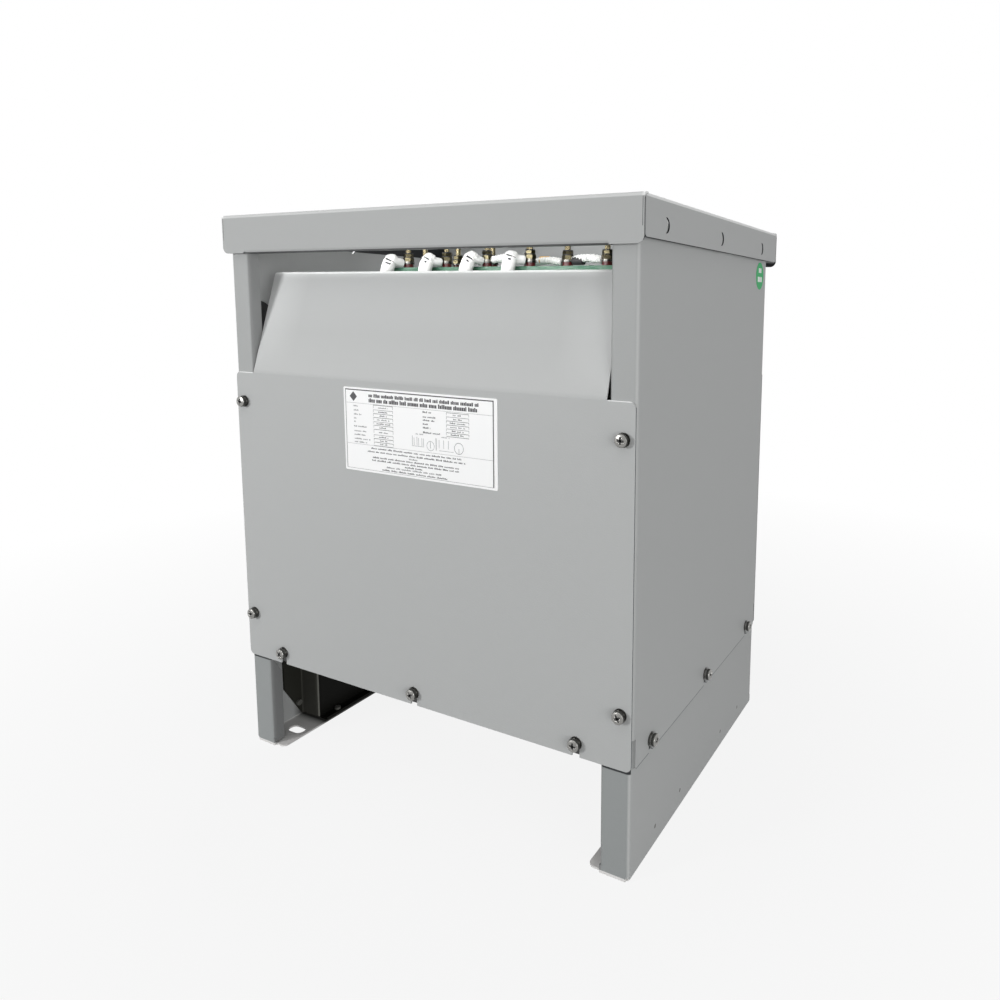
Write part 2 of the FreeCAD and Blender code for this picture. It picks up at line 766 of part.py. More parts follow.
def bracket_bolts():
    # Bolts of the front left bracket: two through its ears, one through its tab.
    bolts = []
    wall = -leg_wall + bracket_sheet
    for place in bracket_ear_bolts():
        centre = (place, bracket_bolt_height())
        head = cylinder("x", centre, bracket_bolt_head, wall, wall + bracket_bolt_head_height)
        bolts.append(head.fuse(cylinder("x", centre, bracket_bolt_radius, -leg_outer, wall)))
    centre = bracket_tab_bolt(-1)
    base = leg_sheet + bracket_sheet
    head = cylinder("z", centre, bracket_bolt_head, base, base + bracket_bolt_head_height)
    bolts.append(head.fuse(cylinder("z", centre, bracket_bolt_radius, leg_sheet / 4, base)))
    return bolts


def isolation_pad():
    x0 = -leg_wall + bracket_sheet + pad_inset
    x1 = -bracket_face - pad_inset
    y0 = -bracket_far + pad_inset
    y1 = -bracket_near - pad_inset
    pad = prism("xy", bracket_height, clamp_bottom, rectangle(x0, x1, y0, y1), 2 * pad_inset)
    return pad.cut(cylinder("z", (-pad_x, -bracket_place_y), pad_bolt_radius + pad_bolt_fit,
                            bracket_height, clamp_bottom))


def pad_bolt():
    # Hold-down bolt through clamp, pad and bracket seat, with its nut.
    centre = (-pad_x, -bracket_place_y)
    top = clamp_bottom + clamp_sheet
    seat = bracket_height - bracket_sheet
    bottom = seat - pad_nut_height - 2
    head = hexagon("z", centre, pad_nut_flats, pad_bolt_radius / 2, top, top + pad_nut_height)
    shank = cylinder("z", centre, pad_bolt_radius, bottom, top + pad_nut_height)
    nut = hexagon("z", centre, pad_nut_flats, pad_bolt_radius + nut_fit, seat - pad_nut_height, seat)
    return head.fuse(shank), nut


def core_lower():
    # Lower yoke and the three legs, laminated as one stack.
    pieces = [box(-core_half, core_half, -stack_half, stack_half, yoke_bottom, window_bottom)]
    for k in (-1, 0, 1):
        x = k * leg_pitch
        pieces.append(box(x - leg_width / 2, x + leg_width / 2, -stack_half, stack_half,
                          window_bottom, window_top))
    return joined(pieces)


def winding_ring(x, half_x, half_y, build, corner, z0, z1):
    # Rounded rectangular ring around one leg; half sizes and corner are those of its inside.
    outer = prism("xy", z0, z1, rectangle(x - half_x - build, x + half_x + build,
                                          -half_y - build, half_y + build), corner + build)
    inner = prism("xy", z0, z1, rectangle(x - half_x, x + half_x, -half_y, half_y), corner)
    return outer.cut(inner)


def duct_sticks(x):
    sticks = []
    half = stick_width / 2
    for sign in (-1, 1):
        for k in (-1, 0, 1):
            centre = x + k * stick_pitch
            sticks.append(box(centre - half, centre + half, sign * duct_y, sign * outer_y,
                              coil_bottom + outer_end_step, coil_top - outer_end_step))
    return sticks


def end_blocks(x):
    blocks = []
    half = end_block_depth / 2
    for side in (-1, 1):
        for z0, z1 in ((window_bottom, coil_bottom), (coil_top, window_top)):
            blocks.append(box(x + side * inner_x, x + side * coil_x, -half, half, z0, z1))
    return blocks


def lower_clamp():
    # Front lower clamp: web on the yoke, foot flange out over the pads.
    end = half_width - lower_clamp_end
    top = clamp_bottom + core_rise + yoke_height
    path = [(-clamp_face, top), (-clamp_face, clamp_bottom), (-clamp_face - lower_clamp_foot, clamp_bottom)]
    clamp = folded("yz", -end, end, path, clamp_sheet)
    tools = []
    for side in (-1, 1):
        tools.append(cylinder("z", (side * pad_x, -bracket_place_y), pad_bolt_radius + pad_bolt_fit,
                              clamp_bottom - 1, clamp_bottom + clamp_sheet + 1))
        tools.append(rod_hole(side, clamp_bottom))
        tools.append(cross_bolt_hole(side, cross_bolt_heights()[0]))
    return clamp.cut(tools)


def upper_clamp():
    # Front upper clamp: web on the yoke, flange out at the top.
    end = half_width - upper_clamp_end
    path = [(-clamp_face - upper_clamp_flange, clamp_top), (-clamp_face, clamp_top),
            (-clamp_face, clamp_top - clamp_web)]
    clamp = folded("yz", -end, end, path, clamp_sheet)
    tools = []
    for side in (-1, 1):
        tools.append(rod_hole(side, clamp_top - clamp_sheet))
        tools.append(cross_bolt_hole(side, cross_bolt_heights()[1]))
    return clamp.cut(tools)


def rod_hole(side, level):
    return cylinder("z", (side * rod_x, -rod_place_y), rod_radius + bolt_fit, level - 1,
                    level + clamp_sheet + 1)


def cross_bolt_heights():
    return (yoke_bottom + yoke_height / 2, core_top - yoke_height / 2)


def cross_bolt_hole(side, height):
    x = side * (core_half + cross_bolt_gap)
    return cylinder("y", (x, height), cross_bolt_radius + bolt_fit, -clamp_face - clamp_sheet - 1,
                    -clamp_face + 1)


def pressboard_strip(bottom):
    # Insulating strip between the yoke and the web of a front clamp.
    return box(-core_half, core_half, -clamp_face, -stack_half, bottom, bottom + yoke_height)


def cross_bolts():
    bolts, nuts = [], []
    outer = clamp_face + clamp_sheet
    end = outer + rod_nut_height + 2
    for side in (-1, 1):
        for height in cross_bolt_heights():
            centre = (side * (core_half + cross_bolt_gap), height)
            head = hexagon("y", centre, rod_nut_flats, cross_bolt_radius / 2, -outer - rod_nut_height, -outer)
            bolts.append(head.fuse(cylinder("y", centre, cross_bolt_radius, -outer - rod_nut_height, end)))
            nuts.append(hexagon("y", centre, rod_nut_flats, cross_bolt_radius + nut_fit, outer,
                                outer + rod_nut_height))
    return bolts, nuts


def tie_rods():
    rods, nuts = [], []
    low = clamp_bottom
    for side in (-1, 1):
        for way in (-1, 1):
            centre = (side * rod_x, way * rod_place_y)
            rods.append(cylinder("z", centre, rod_radius, low - rod_nut_height - rod_end,
                                 clamp_top + rod_nut_height + rod_end))
            for z in (low - rod_nut_height, clamp_top):
                nuts.append(hexagon("z", centre, rod_nut_flats, rod_radius + nut_fit, z, z + rod_nut_height))
    return rods, nuts


def support_places():
    # Halfway between the outer studs of the rear row, where the screws have room.
    rear = rear_studs()
    return ((rear[0] + rear[1]) / 2, (rear[-2] + rear[-1]) / 2)


def terminal_support(x):
    # Bracket of folded steel between the front upper clamp and the terminal board.
    front = board_front_y + support_front_inset
    back = front + support_flange
    path = [(back, clamp_top), (front, clamp_top), (front, board_bottom), (back, board_bottom)]
    support = folded("yz", x - support_width / 2, x + support_width / 2, path, support_sheet)
    return support.cut(cylinder("z", (x, front + support_screw_inset), support_screw_radius + stud_fit,
                                board_bottom - support_sheet - 1, board_bottom + 1))


def support_screw(x):
    centre = (x, board_front_y + support_front_inset + support_screw_inset)
    head = cylinder("z", centre, support_screw_head, board_top, board_top + 0.6 * support_screw_head)
    return head.fuse(cylinder("z", centre, support_screw_radius, board_bottom - support_sheet - 2,
                              board_top))


def front_studs():
    places = [first_stud + k * main_pitch for k in range(4)]
    return places + [places[-1] + end_pitch * k for k in (1, 2)]


def rear_studs():
    return [first_stud + k * rear_pitch for k in range(6)]


def stud_places():
    return [(x, front_row) for x in front_studs()] + [(x, rear_row) for x in rear_studs()]


def terminal_board():
    board = prism("xy", board_bottom, board_top,
                  rectangle(board_left, board_right, board_front_y, board_front_y + board_depth),
                  board_corner)
    tools = [cylinder("z", place, stud_radius + stud_fit, board_bottom, board_top)
             for place in stud_places()]
    tools += [cylinder("z", (x, board_front_y + support_front_inset + support_screw_inset),
                       support_screw_radius + stud_fit, board_bottom, board_top)
              for x in support_places()]
    return board.cut(tools)


def lead_studs():
    return [(x, front_row) for x in front_studs()[:4]]


def jumper_pairs():
    # Which studs each jumper joins, and the level of its eyelets.
    front, rear = front_studs(), rear_studs()
    over_lug = insulator_top + stack_washer_height + lug_sheet
    over_washer = insulator_top + stack_washer_height
    return [((front[2], front[3]), front_row, over_lug),
            ((rear[3], rear[4]), rear_row, over_washer),
            ((front[4], front[5]), front_row, over_washer)]


def stack_top(place):
    # Where the nut of a stud sits: above its washer, its lug and its eyelet.
    top = insulator_top + stack_washer_height
    if place in lead_studs():
        top += lug_sheet
    for ends, row, level in jumper_pairs():
        if place[1] == row and place[0] in ends:
            top += eyelet_sheet
    return top


def terminal_hardware():
    studs, insulators, washers, nuts = [], [], [], []
    for place in stud_places():
        bore = stud_radius + stud_fit
        studs.append(cylinder("z", place, stud_radius, board_bottom, board_bottom + stud_length))
        insulators.append(ring("z", place, insulator_radius, bore, board_top, insulator_top))
        washers.append(ring("z", place, stack_washer_radius, bore, insulator_top,
                            insulator_top + stack_washer_height))
        seat = stack_top(place)
        nuts.append(hexagon("z", place, stud_nut_flats, bore, seat, seat + stud_nut_height))
        jam = seat + stud_nut_height
        nuts.append(hexagon("z", place, stud_nut_flats, bore, jam, jam + jam_nut_height))
    return studs, insulators, washers, nuts


def lead_route(stud):
    # A lead rises from the outer winding, passes in front of the board and bends over to its stud.
    x, y = stud
    left = x - lead_side_step
    coil = round(x / leg_pitch) * leg_pitch
    limit = coil_x - winding_corner - outer_build
    start_x = min(max(left, coil - limit), coil + limit)
    start_y = -(outer_y + outer_build / 2)
    front = y - lead_stand_off
    base = coil_top - outer_end_step
    level = insulator_top + stack_washer_height
    turn = sleeve_radius
    return [FreeCAD.Vector(start_x, start_y, base),
            FreeCAD.Vector(start_x, start_y, base + lead_first_rise),
            FreeCAD.Vector((start_x + left) / 2, start_y - lead_swing, clamp_top - lead_clamp_gap),
            FreeCAD.Vector(left, front, clamp_top + lead_straight),
            FreeCAD.Vector(left, front, level - 2.7 * turn),
            FreeCAD.Vector(left + 0.15 * turn, front + 0.3 * turn, level - 0.75 * turn),
            FreeCAD.Vector(left + 0.75 * turn, front + 1.2 * turn, level + 0.45 * turn),
            FreeCAD.Vector(left + 1.3 * turn, front + 2.2 * turn, level + 0.32 * turn)]


def tube(points, radius):
    # Round tube along straight runs joined by tangent arcs.
    edges = []
    here = points[0]
    for i in range(1, len(points) - 1):
        back = points[i - 1] - points[i]
        ahead = points[i + 1] - points[i]
        half_turn = (math.pi - back.getAngle(ahead)) / 2
        shorter = min(back.Length, ahead.Length)
        bend = 0.45 * shorter / math.tan(half_turn)
        back.normalize()
        ahead.normalize()
        cut = bend * math.tan(half_turn)
        middle = back + ahead
        middle.normalize()
        start = points[i] + back * cut
        end = points[i] + ahead * cut
        edges.append(Part.LineSegment(here, start).toShape())
        edges.append(Part.Arc(start, points[i] + middle * (bend / math.cos(half_turn) - bend),
                              end).toShape())
        here = end
    edges.append(Part.LineSegment(here, points[-1]).toShape())
    path = Part.Wire(edges)
    circle = Part.Wire([Part.makeCircle(radius, points[0], points[1] - points[0])])
    return path.makePipeShell([circle], True, False)


def lead_lug(stud, sleeve):
    # Lug of a lead: an eye round the stud and a flat tongue that enters the end of the sleeve.
    low = insulator_top + stack_washer_height
    end = lead_route(stud)[-1]
    way = FreeCAD.Vector(end.x - stud[0], end.y - stud[1], 0)
    tongue = box(0, way.Length + 1, -lug_tongue / 2, lug_tongue / 2, low, low + lug_sheet)
    angle = math.degrees(math.atan2(way.y, way.x))
    tongue.rotate(FreeCAD.Vector(0, 0, 0), FreeCAD.Vector(0, 0, 1), angle)
    tongue.translate(FreeCAD.Vector(stud[0], stud[1], 0))
    eye = cylinder("z", stud, lug_radius, low, low + lug_sheet)
    bore = cylinder("z", stud, stud_radius + stud_fit, low - 1, low + lug_sheet + 1)
    return eye.fuse(tongue).cut([bore, sleeve])


def jumper(ends, row, level):
    # Wire with an eyelet at each end, and the ribbed sleeve on it.
    middle = level + eyelet_sheet / 2
    start, end = ends[0] + jumper_end_gap, ends[1] - jumper_end_gap
    wire = cylinder("x", (row, middle), jumper_wire, start - 2, end + 2)
    pieces = [wire]
    for x in ends:
        pieces.append(cylinder("z", (x, row), eyelet_radius, level, level + eyelet_sheet))
    pieces.append(box(ends[0], start, row - jumper_wire, row + jumper_wire, level, level + eyelet_sheet))
    pieces.append(box(end, ends[1], row - jumper_wire, row + jumper_wire, level, level + eyelet_sheet))
    bores = [cylinder("z", (x, row), stud_radius + stud_fit, level - 2, level + 2) for x in ends]
    clear = [cylinder("z", (x, row), stack_washer_radius, low, high) for x in ends
             for low, high in ((level - 3, level), (level + eyelet_sheet, level + 4))]
    whole = joined(pieces).cut(bores + clear)
    sleeve = ring("x", (row, middle), jumper_radius, jumper_wire + jumper_fit, start, end)
    return whole, sleeve


def nameplate():
    x0 = plate_shift - plate_width / 2
    top = panel_top - plate_drop
    return prism("xz", -panel_face - plate_sheet, -panel_face,
                 rectangle(x0, x0 + plate_width, top - plate_height, top), plate_corner)


def sticker():
    centre = FreeCAD.Vector(half_width, sticker_y, total_height - sticker_drop)
    tall = FreeCAD.Vector(0, 0, sticker_height / 2)
    wide = FreeCAD.Vector(0, sticker_width / 2, 0)
    edge = Part.Ellipse(centre + tall, centre + wide, centre).toShape()
    return Part.Face(Part.Wire([edge])).extrude(FreeCAD.Vector(sticker_sheet, 0, 0))


def grommet():
    centre = (grommet_y, total_height - grommet_drop)
    inner = -half_width + side_sheet
    rim = cylinder("x", centre, grommet_outer, -half_width - grommet_rim, -half_width)
    neck = cylinder("x", centre, grommet_hole, -half_width, inner)
    back = cylinder("x", centre, grommet_inner, inner, inner + grommet_rim)
    return rim.fuse([neck, back])


def earth_stud():
    centre = (0.0, earth_height)
    head = hexagon("x", centre, earth_nut_flats, earth_radius / 2, -leg_wall, -leg_wall + earth_nut_height)
    stud = head.fuse(cylinder("x", centre, earth_radius, -leg_wall, -leg_wall + earth_reach))
    start = -leg_wall + earth_nut_height + earth_nut_gap
    return stud, hexagon("x", centre, earth_nut_flats, earth_radius + nut_fit, start,
                         start + earth_nut_height)


def main():
    os.makedirs("parts", exist_ok=True)
    along_x, along_y = (1, 0, 0), (0, 1, 0)

    save("lid", lid())
    save("side_panel_left", side_panel(True))
    save("side_panel_right", mirrored(side_panel(False), along_x))
    front = cover_panel()
    save("front_panel", front)
    save("rear_panel", mirrored(front, along_y))
    leg = leg_frame()
    save("leg_frame_left", leg)
    save("leg_frame_right", mirrored(leg, along_x))
    for name, rail in (("base_rail", base_rail()), ("top_rail", top_rail())):
        save(name + "_front", rail)
        save(name + "_rear", mirrored(rail, along_y))

    # Screws with their washers, then the nuts behind them
    sides = [(x * panel_screw_x, height) for x in (-1, 1) for height in panel_screw_heights]
    bottoms = [(x, bottom_screw_height) for x in bottom_screw_places]
    screws, springs, flats = screw_set("y", sides + bottoms, -panel_face, -1, thread_reach)
    save("panel_screws", screws + [mirrored(screw, along_y) for screw in screws])
    walls = [(y, side_screw_height) for y in side_screw_places]
    side_screws, side_springs, side_flats = screw_set("x", walls, -half_width, -1, thread_reach)
    save("side_screws", side_screws + [mirrored(screw, along_x) for screw in side_screws])
    save("spring_washers", springs + [mirrored(s, along_y) for s in springs]
         + side_springs + [mirrored(s, along_x) for s in side_springs])
    save("flat_washers", flats + [mirrored(s, along_y) for s in flats]
         + side_flats + [mirrored(s, along_x) for s in side_flats])
    nuts = [weld_nut("y", place, -half_depth + side_sheet, 1) for place in sides]
    nuts += [mirrored(nut, along_y) for nut in nuts]
    wall_nuts = [weld_nut("x", place, -leg_wall, 1) for place in walls]
    save("weld_nuts", nuts + wall_nuts + [mirrored(nut, along_x) for nut in wall_nuts])
    clips = [clip_nut(x) for x in bottom_screw_places]
    save("clip_nuts", clips + [mirrored(clip, along_y) for clip in clips])
    rivets = [rivet(side) for side in (-1, 1)]
    save("rail_rivets", rivets + [mirrored(r, along_y) for r in rivets])

    save("nameplate", nameplate())
    save("inspection_sticker", sticker())
    save("blanking_grommet", grommet())

    # Core brackets, their bolts, and the pads with their hold-down bolts
    bracket, bolts, pad = core_bracket(), bracket_bolts(), isolation_pad()
    pad_screw, pad_nut = pad_bolt()
    save("core_brackets", [bracket, mirrored(bracket, along_x)])
    save("isolation_pads", four(pad))
    save("bracket_bolts", [copy for bolt in bolts for copy in four(bolt)])
    save("hold_down_bolts", four(pad_screw))
    save("hold_down_nuts", four(pad_nut))

    # Core and windings
    save("core_lower_yoke_and_legs", core_lower())
    save("core_upper_yoke", box(-core_half, core_half, -stack_half, stack_half, window_top, core_top))
    sticks, blocks, tubes = [], [], []
    for k, side in ((-1, "left"), (0, "middle"), (1, "right")):
        x = k * leg_pitch
        tubes.append(winding_ring(x, tube_x, tube_y, tube_wall, tube_corner, coil_bottom, coil_top))
        save("inner_winding_" + side, winding_ring(x, inner_x, inner_y, inner_build,
                                                   tube_corner + tube_wall, coil_bottom, coil_top))
        save("outer_winding_" + side,
             winding_ring(x, outer_x, outer_y, outer_build, winding_corner,
                          coil_bottom + outer_end_step, coil_top - outer_end_step))
        sticks += duct_sticks(x)
        blocks += end_blocks(x)
    save("winding_tubes", tubes)
    save("duct_sticks", sticks)
    save("end_blocks", blocks)

    for name, clamp in (("lower_clamp", lower_clamp()), ("upper_clamp", upper_clamp())):
        save(name + "_front", clamp)
        save(name + "_rear", mirrored(clamp, along_y))
    strips = [pressboard_strip(yoke_bottom), pressboard_strip(window_top)]
    save("pressboard_strips", strips + [mirrored(strip, along_y) for strip in strips])
    bolts, nuts = cross_bolts()
    rods, rod_nuts = tie_rods()
    save("cross_bolts", bolts)
    save("tie_rods", rods)
    save("clamp_nuts", nuts + rod_nuts)

    # Terminals
    save("terminal_supports", [terminal_support(x) for x in support_places()])
    save("terminal_board", terminal_board())
    save("board_screws", [support_screw(x) for x in support_places()])
    studs, insulators, washers, nuts = terminal_hardware()
    save("terminal_studs", studs)
    save("stud_insulators", insulators)
    save("stud_washers", washers)
    save("stud_nuts", nuts)
    sleeves = [tube(lead_route(stud), sleeve_radius) for stud in lead_studs()]
    save("lead_sleeves", sleeves)
    save("lead_lugs", [lead_lug(stud, sleeve) for stud, sleeve in zip(lead_studs(), sleeves)])
    pairs = [jumper(*pair) for pair in jumper_pairs()]
    save("jumper_wires", [pair[0] for pair in pairs])
    save("jumper_sleeves", [pair[1] for pair in pairs])
    stud, nut = earth_stud()
    save("earth_stud", stud)
    save("earth_nut", nut)


main()
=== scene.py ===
import json
import math
import bpy
import numpy as np
from mathutils import Matrix, Vector

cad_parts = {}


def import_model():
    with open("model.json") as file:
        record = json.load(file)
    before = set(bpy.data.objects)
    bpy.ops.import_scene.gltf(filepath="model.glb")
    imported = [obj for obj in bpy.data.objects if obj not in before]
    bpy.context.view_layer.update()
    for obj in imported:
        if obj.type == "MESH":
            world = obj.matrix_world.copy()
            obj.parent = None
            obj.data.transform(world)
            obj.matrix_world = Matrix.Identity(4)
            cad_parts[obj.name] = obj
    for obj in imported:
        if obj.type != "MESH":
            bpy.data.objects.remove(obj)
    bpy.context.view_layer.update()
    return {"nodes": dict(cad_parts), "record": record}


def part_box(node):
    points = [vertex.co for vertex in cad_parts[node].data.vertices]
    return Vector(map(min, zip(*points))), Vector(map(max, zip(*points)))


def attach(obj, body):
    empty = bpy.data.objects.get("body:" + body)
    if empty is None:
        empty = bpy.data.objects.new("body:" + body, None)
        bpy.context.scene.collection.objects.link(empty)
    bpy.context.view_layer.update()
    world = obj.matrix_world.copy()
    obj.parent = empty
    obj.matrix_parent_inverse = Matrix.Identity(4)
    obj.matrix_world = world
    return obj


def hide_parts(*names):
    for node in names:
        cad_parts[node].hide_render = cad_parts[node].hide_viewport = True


# Isolation transformer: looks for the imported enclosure, its fasteners, terminals and leads.
# Metres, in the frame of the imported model: X along the front, front towards -Y, Z up.

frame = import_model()
nodes = frame["nodes"]
fullTurn = 2 * math.pi
print("frame loaded:", len(nodes), "nodes")


def feed(tree, value, socket):
    # A number, vector or colour is set on the socket; another node's output is linked to it.
    if isinstance(value, (int, float)):
        socket.default_value = value
    elif isinstance(value, tuple):
        socket.default_value = (value + (1.0,))[:len(socket.default_value)]
    else:
        tree.links.new(value, socket)


def feedAll(tree, node, inputs):
    for key, value in inputs.items():
        feed(tree, value, node.inputs[key])


def addObject(name, data):
    thing = bpy.data.objects.new(name, data)
    bpy.context.scene.collection.objects.link(thing)
    return thing


def newMaterial(name):
    material = bpy.data.materials.new(name)
    material.use_nodes = True
    return material, material.node_tree, material.node_tree.nodes["Principled BSDF"]


def addNode(tree, kind, inputs, **settings):
    node = tree.nodes.new(kind)
    for key, value in settings.items():
        setattr(node, key, value)
    feedAll(tree, node, inputs)
    return node


def mathNode(tree, operation, first, *others):
    # With more than two values the operation is repeated along them.
    for other in others or (0.0,):
        first = addNode(tree, "ShaderNodeMath", {0: first, 1: other}, operation=operation).outputs[0]
    return first


def mixColour(tree, factor, first, second):
    return addNode(tree, "ShaderNodeMix", {0: factor, 6: first, 7: second}, data_type="RGBA").outputs[2]


def objectPoint(tree):
    return tree.nodes.new("ShaderNodeTexCoord").outputs["Object"]


def noise(tree, point, scale, detail, roughness):
    inputs = {"Vector": point, "Scale": scale, "Detail": detail, "Roughness": roughness}
    return addNode(tree, "ShaderNodeTexNoise", inputs).outputs["Fac"]


def ramp(tree, value, low, high):
    # Linear map of a value from low..high to 0..1, held inside that range.
    inputs = {"Value": value, "From Min": low, "From Max": high}
    return addNode(tree, "ShaderNodeMapRange", inputs).outputs["Result"]


def bump(tree, height, strength, distance):
    inputs = {"Height": height, "Strength": strength, "Distance": distance}
    return addNode(tree, "ShaderNodeBump", inputs).outputs["Normal"]


detailValues = {
    # detail and roughness of the two noises, their shares, and the values each material may change
    "fine": (2.0, 0.5), "broad": (4.0, 0.55), "shares": (0.45, 0.55),
    "sockets": (("Fine scale", 900.0), ("Broad scale", 9.0), ("Variation", 0.04), ("Roughness base", 0.4),
                ("Roughness swing", 0.06)),
}


def detailGroup():
    # Shared surface detail: a fine and a broad noise are added by their shares, less a half and
    # doubled, which is the swing. Colour is multiplied by 1 + variation * swing, and the roughness
    # is its base + roughness swing * swing.
    v = detailValues
    group = bpy.data.node_groups.new("surfaceDetail", "ShaderNodeTree")
    face = group.interface
    face.new_socket("Colour", in_out="INPUT", socket_type="NodeSocketColor")
    for name, value in v["sockets"]:
        face.new_socket(name, in_out="INPUT", socket_type="NodeSocketFloat").default_value = value
    face.new_socket("Colour", in_out="OUTPUT", socket_type="NodeSocketColor")
    face.new_socket("Roughness", in_out="OUTPUT", socket_type="NodeSocketFloat")
    face.new_socket("Height", in_out="OUTPUT", socket_type="NodeSocketFloat")
    inside = group.nodes.new("NodeGroupInput").outputs
    outside = group.nodes.new("NodeGroupOutput").inputs
    point = objectPoint(group)
    fine = noise(group, point, inside["Fine scale"], *v["fine"])
    broad = noise(group, point, inside["Broad scale"], *v["broad"])
    both = mathNode(group, "ADD", mathNode(group, "MULTIPLY", fine, v["shares"][0]),
                    mathNode(group, "MULTIPLY", broad, v["shares"][1]))
    swing = mathNode(group, "MULTIPLY", mathNode(group, "SUBTRACT", both, 0.5), 2.0)
    factor = mathNode(group, "ADD", mathNode(group, "MULTIPLY", swing, inside["Variation"]), 1.0)
    scaled = addNode(group, "ShaderNodeVectorMath", {0: inside["Colour"], "Scale": factor}, operation="SCALE")
    rough = mathNode(group, "ADD", inside["Roughness base"],
                     mathNode(group, "MULTIPLY", swing, inside["Roughness swing"]))
    feed(group, scaled.outputs[0], outside["Colour"])
    feed(group, rough, outside["Roughness"])
    feed(group, fine, outside["Height"])
    return group


surfaceDetail = detailGroup()


def detailed(name, colour, rough=0.4, metallic=0.0, fine=900.0, broad=9.0, variation=0.04, swing=0.06,
             bumpStrength=0.25, bumpDistance=0.0002, coat=0.0, gloss=0.5):
    # A material on the shared detail group: colour, roughness and bump all come from it.
    material, tree, shader = newMaterial(name)
    inputs = {"Colour": colour, "Fine scale": fine, "Broad scale": broad, "Variation": variation,
              "Roughness base": rough, "Roughness swing": swing}
    detail = addNode(tree, "ShaderNodeGroup", inputs, node_tree=surfaceDetail, name="detail").outputs
    feedAll(tree, shader, {"Metallic": metallic, "Specular IOR Level": gloss, "Coat Weight": coat,
                           "Base Color": detail["Colour"], "Roughness": detail["Roughness"],
                           "Normal": bump(tree, detail["Height"], bumpStrength, bumpDistance)})
    return material


def placeOf(tree):
    # Distance from the middle planes in X and Y, then Y and the height as they are.
    split = addNode(tree, "ShaderNodeSeparateXYZ", {0: objectPoint(tree)}).outputs
    return {"across": mathNode(tree, "ABSOLUTE", split[0]), "along": mathNode(tree, "ABSOLUTE", split[1]),
            "y": split[1], "z": split[2]}


def mask(tree, place, parts):
    # Product of one ramp for each part. "above" rises from nought to one between its two numbers,
    # "below" falls there, and "between" is one from its first number to its second, with soft ends
    # as wide as its third.
    steps = []
    for way, kind, low, high, *edge in parts:
        if kind == "above":
            steps.append(ramp(tree, place[way], low, high))
        elif kind == "below":
            steps.append(mathNode(tree, "SUBTRACT", 1.0, ramp(tree, place[way], low, high)))
        else:
            steps.append(ramp(tree, place[way], low - edge[0], low))
            steps.append(mathNode(tree, "SUBTRACT", 1.0, ramp(tree, place[way], high, high + edge[0])))
    return mathNode(tree, "MULTIPLY", *steps) if len(steps) > 1 else steps[0]


def zoned(name, v):
    # A detailed material with its node tree, its masks and its tones, each by name.
    material = detailed(name, **v["coat"])
    tree = material.node_tree
    place = placeOf(tree)
    zone = {key: mask(tree, place, parts) for key, parts in v["masks"].items()}
    return material, tree, zone, {**sharedTones, **v["tones"], "base": v["coat"]["colour"]}


def paint(material, colour, *layers):
    # Lays tones over a first one, each through its mask, and hands the result to the detail group.
    tree = material.node_tree
    for factor, tone in layers:
        colour = mixColour(tree, factor, colour, tone)
    feed(tree, colour, tree.nodes["detail"].inputs["Colour"])
    return material


# Powder coat: fine orange peel, with a smooth broad swell under it.
enamel = {"colour": (0.452, 0.462, 0.46), "rough": 0.5, "fine": 800.0, "broad": 5.0, "variation": 0.014,
          "swing": 0.04, "bumpStrength": 0.4, "bumpDistance": 0.0003, "gloss": 0.2}
# Shared tones: a dark one for painted shade, one for painted shade in the gaps at panel edges, and a pale one for
# painted highlights along bends.
sharedTones = {"cut": (0.03, 0.032, 0.034), "gapShade": (0.13, 0.145, 0.15), "bend": (0.52, 0.53, 0.525)}

lidValues = {
    "coat": enamel,
    # Painted tones: the front face is darkened as shade, and the top folds are paled as highlights.
    "tones": {"face": (0.402, 0.411, 0.409), "fold": (0.60, 0.61, 0.605), "sideFold": (0.80, 0.81, 0.805)},
    "lipShare": 0.85, "seamShare": 0.8,  # how dark these two are
    # a mask's parts, here and below: the place it reads, how it runs, and where it starts and ends
    "masks": {
        # The first six masks mark where shade is painted dark.
        "cut": (("across", "between", 0.2551, 0.2564, 0.00008), ("z", "below", 0.6057, 0.6062),
                ("y", "between", -0.1821, 0.1966, 0.0001)),
        "inside": (("across", "between", 0.2547, 0.2551, 0.0001), ("z", "between", 0.5832, 0.6057, 0.0005)),
        "lip": (("z", "below", 0.5698, 0.5702), ("across", "below", 0.2235, 0.225)),
        "rearEdge": (("y", "between", 0.179, 0.1963, 0.0002), ("z", "below", 0.5736, 0.5742)),
        "frontSeam": (("y", "below", -0.1813, -0.181), ("across", "above", 0.2562, 0.2564),
                      ("z", "below", 0.6053, 0.6057)),
        "rearSeam": (("y", "above", 0.1953, 0.1956), ("across", "above", 0.2562, 0.2564),
                     ("z", "below", 0.6053, 0.6057)),
        "fold": (("z", "between", 0.6069, 0.6097, 0.0004),),
        "sideFold": (("across", "above", 0.2531, 0.2556),),
        "face": (("y", "below", -0.1819, -0.1815), ("z", "below", 0.6061, 0.6065)),
    },
}


def lidEnamel():
    # The cut edges of the side flanges and the walls of their slots, the inner faces of those flanges, the
    # corner seams and the lower edges are painted dark as shade; the folds round the top are painted paler
    # as a highlight, more so on the sides, and the front face is painted a shade darker as shade.
    v = lidValues
    material, tree, zone, tone = zoned("lidEnamel", v)
    gapShade = mathNode(tree, "MAXIMUM", zone["frontSeam"], zone["rearSeam"])
    dark = mathNode(tree, "MAXIMUM", zone["cut"], zone["inside"],
                    mathNode(tree, "MULTIPLY", zone["lip"], v["lipShare"]), zone["rearEdge"],
                    mathNode(tree, "MULTIPLY", gapShade, v["seamShare"]))
    fold = mixColour(tree, zone["sideFold"], tone["fold"], tone["sideFold"])
    return paint(material, tone["base"], (zone["face"], tone["face"]), (zone["fold"], fold), (dark, tone["cut"]))


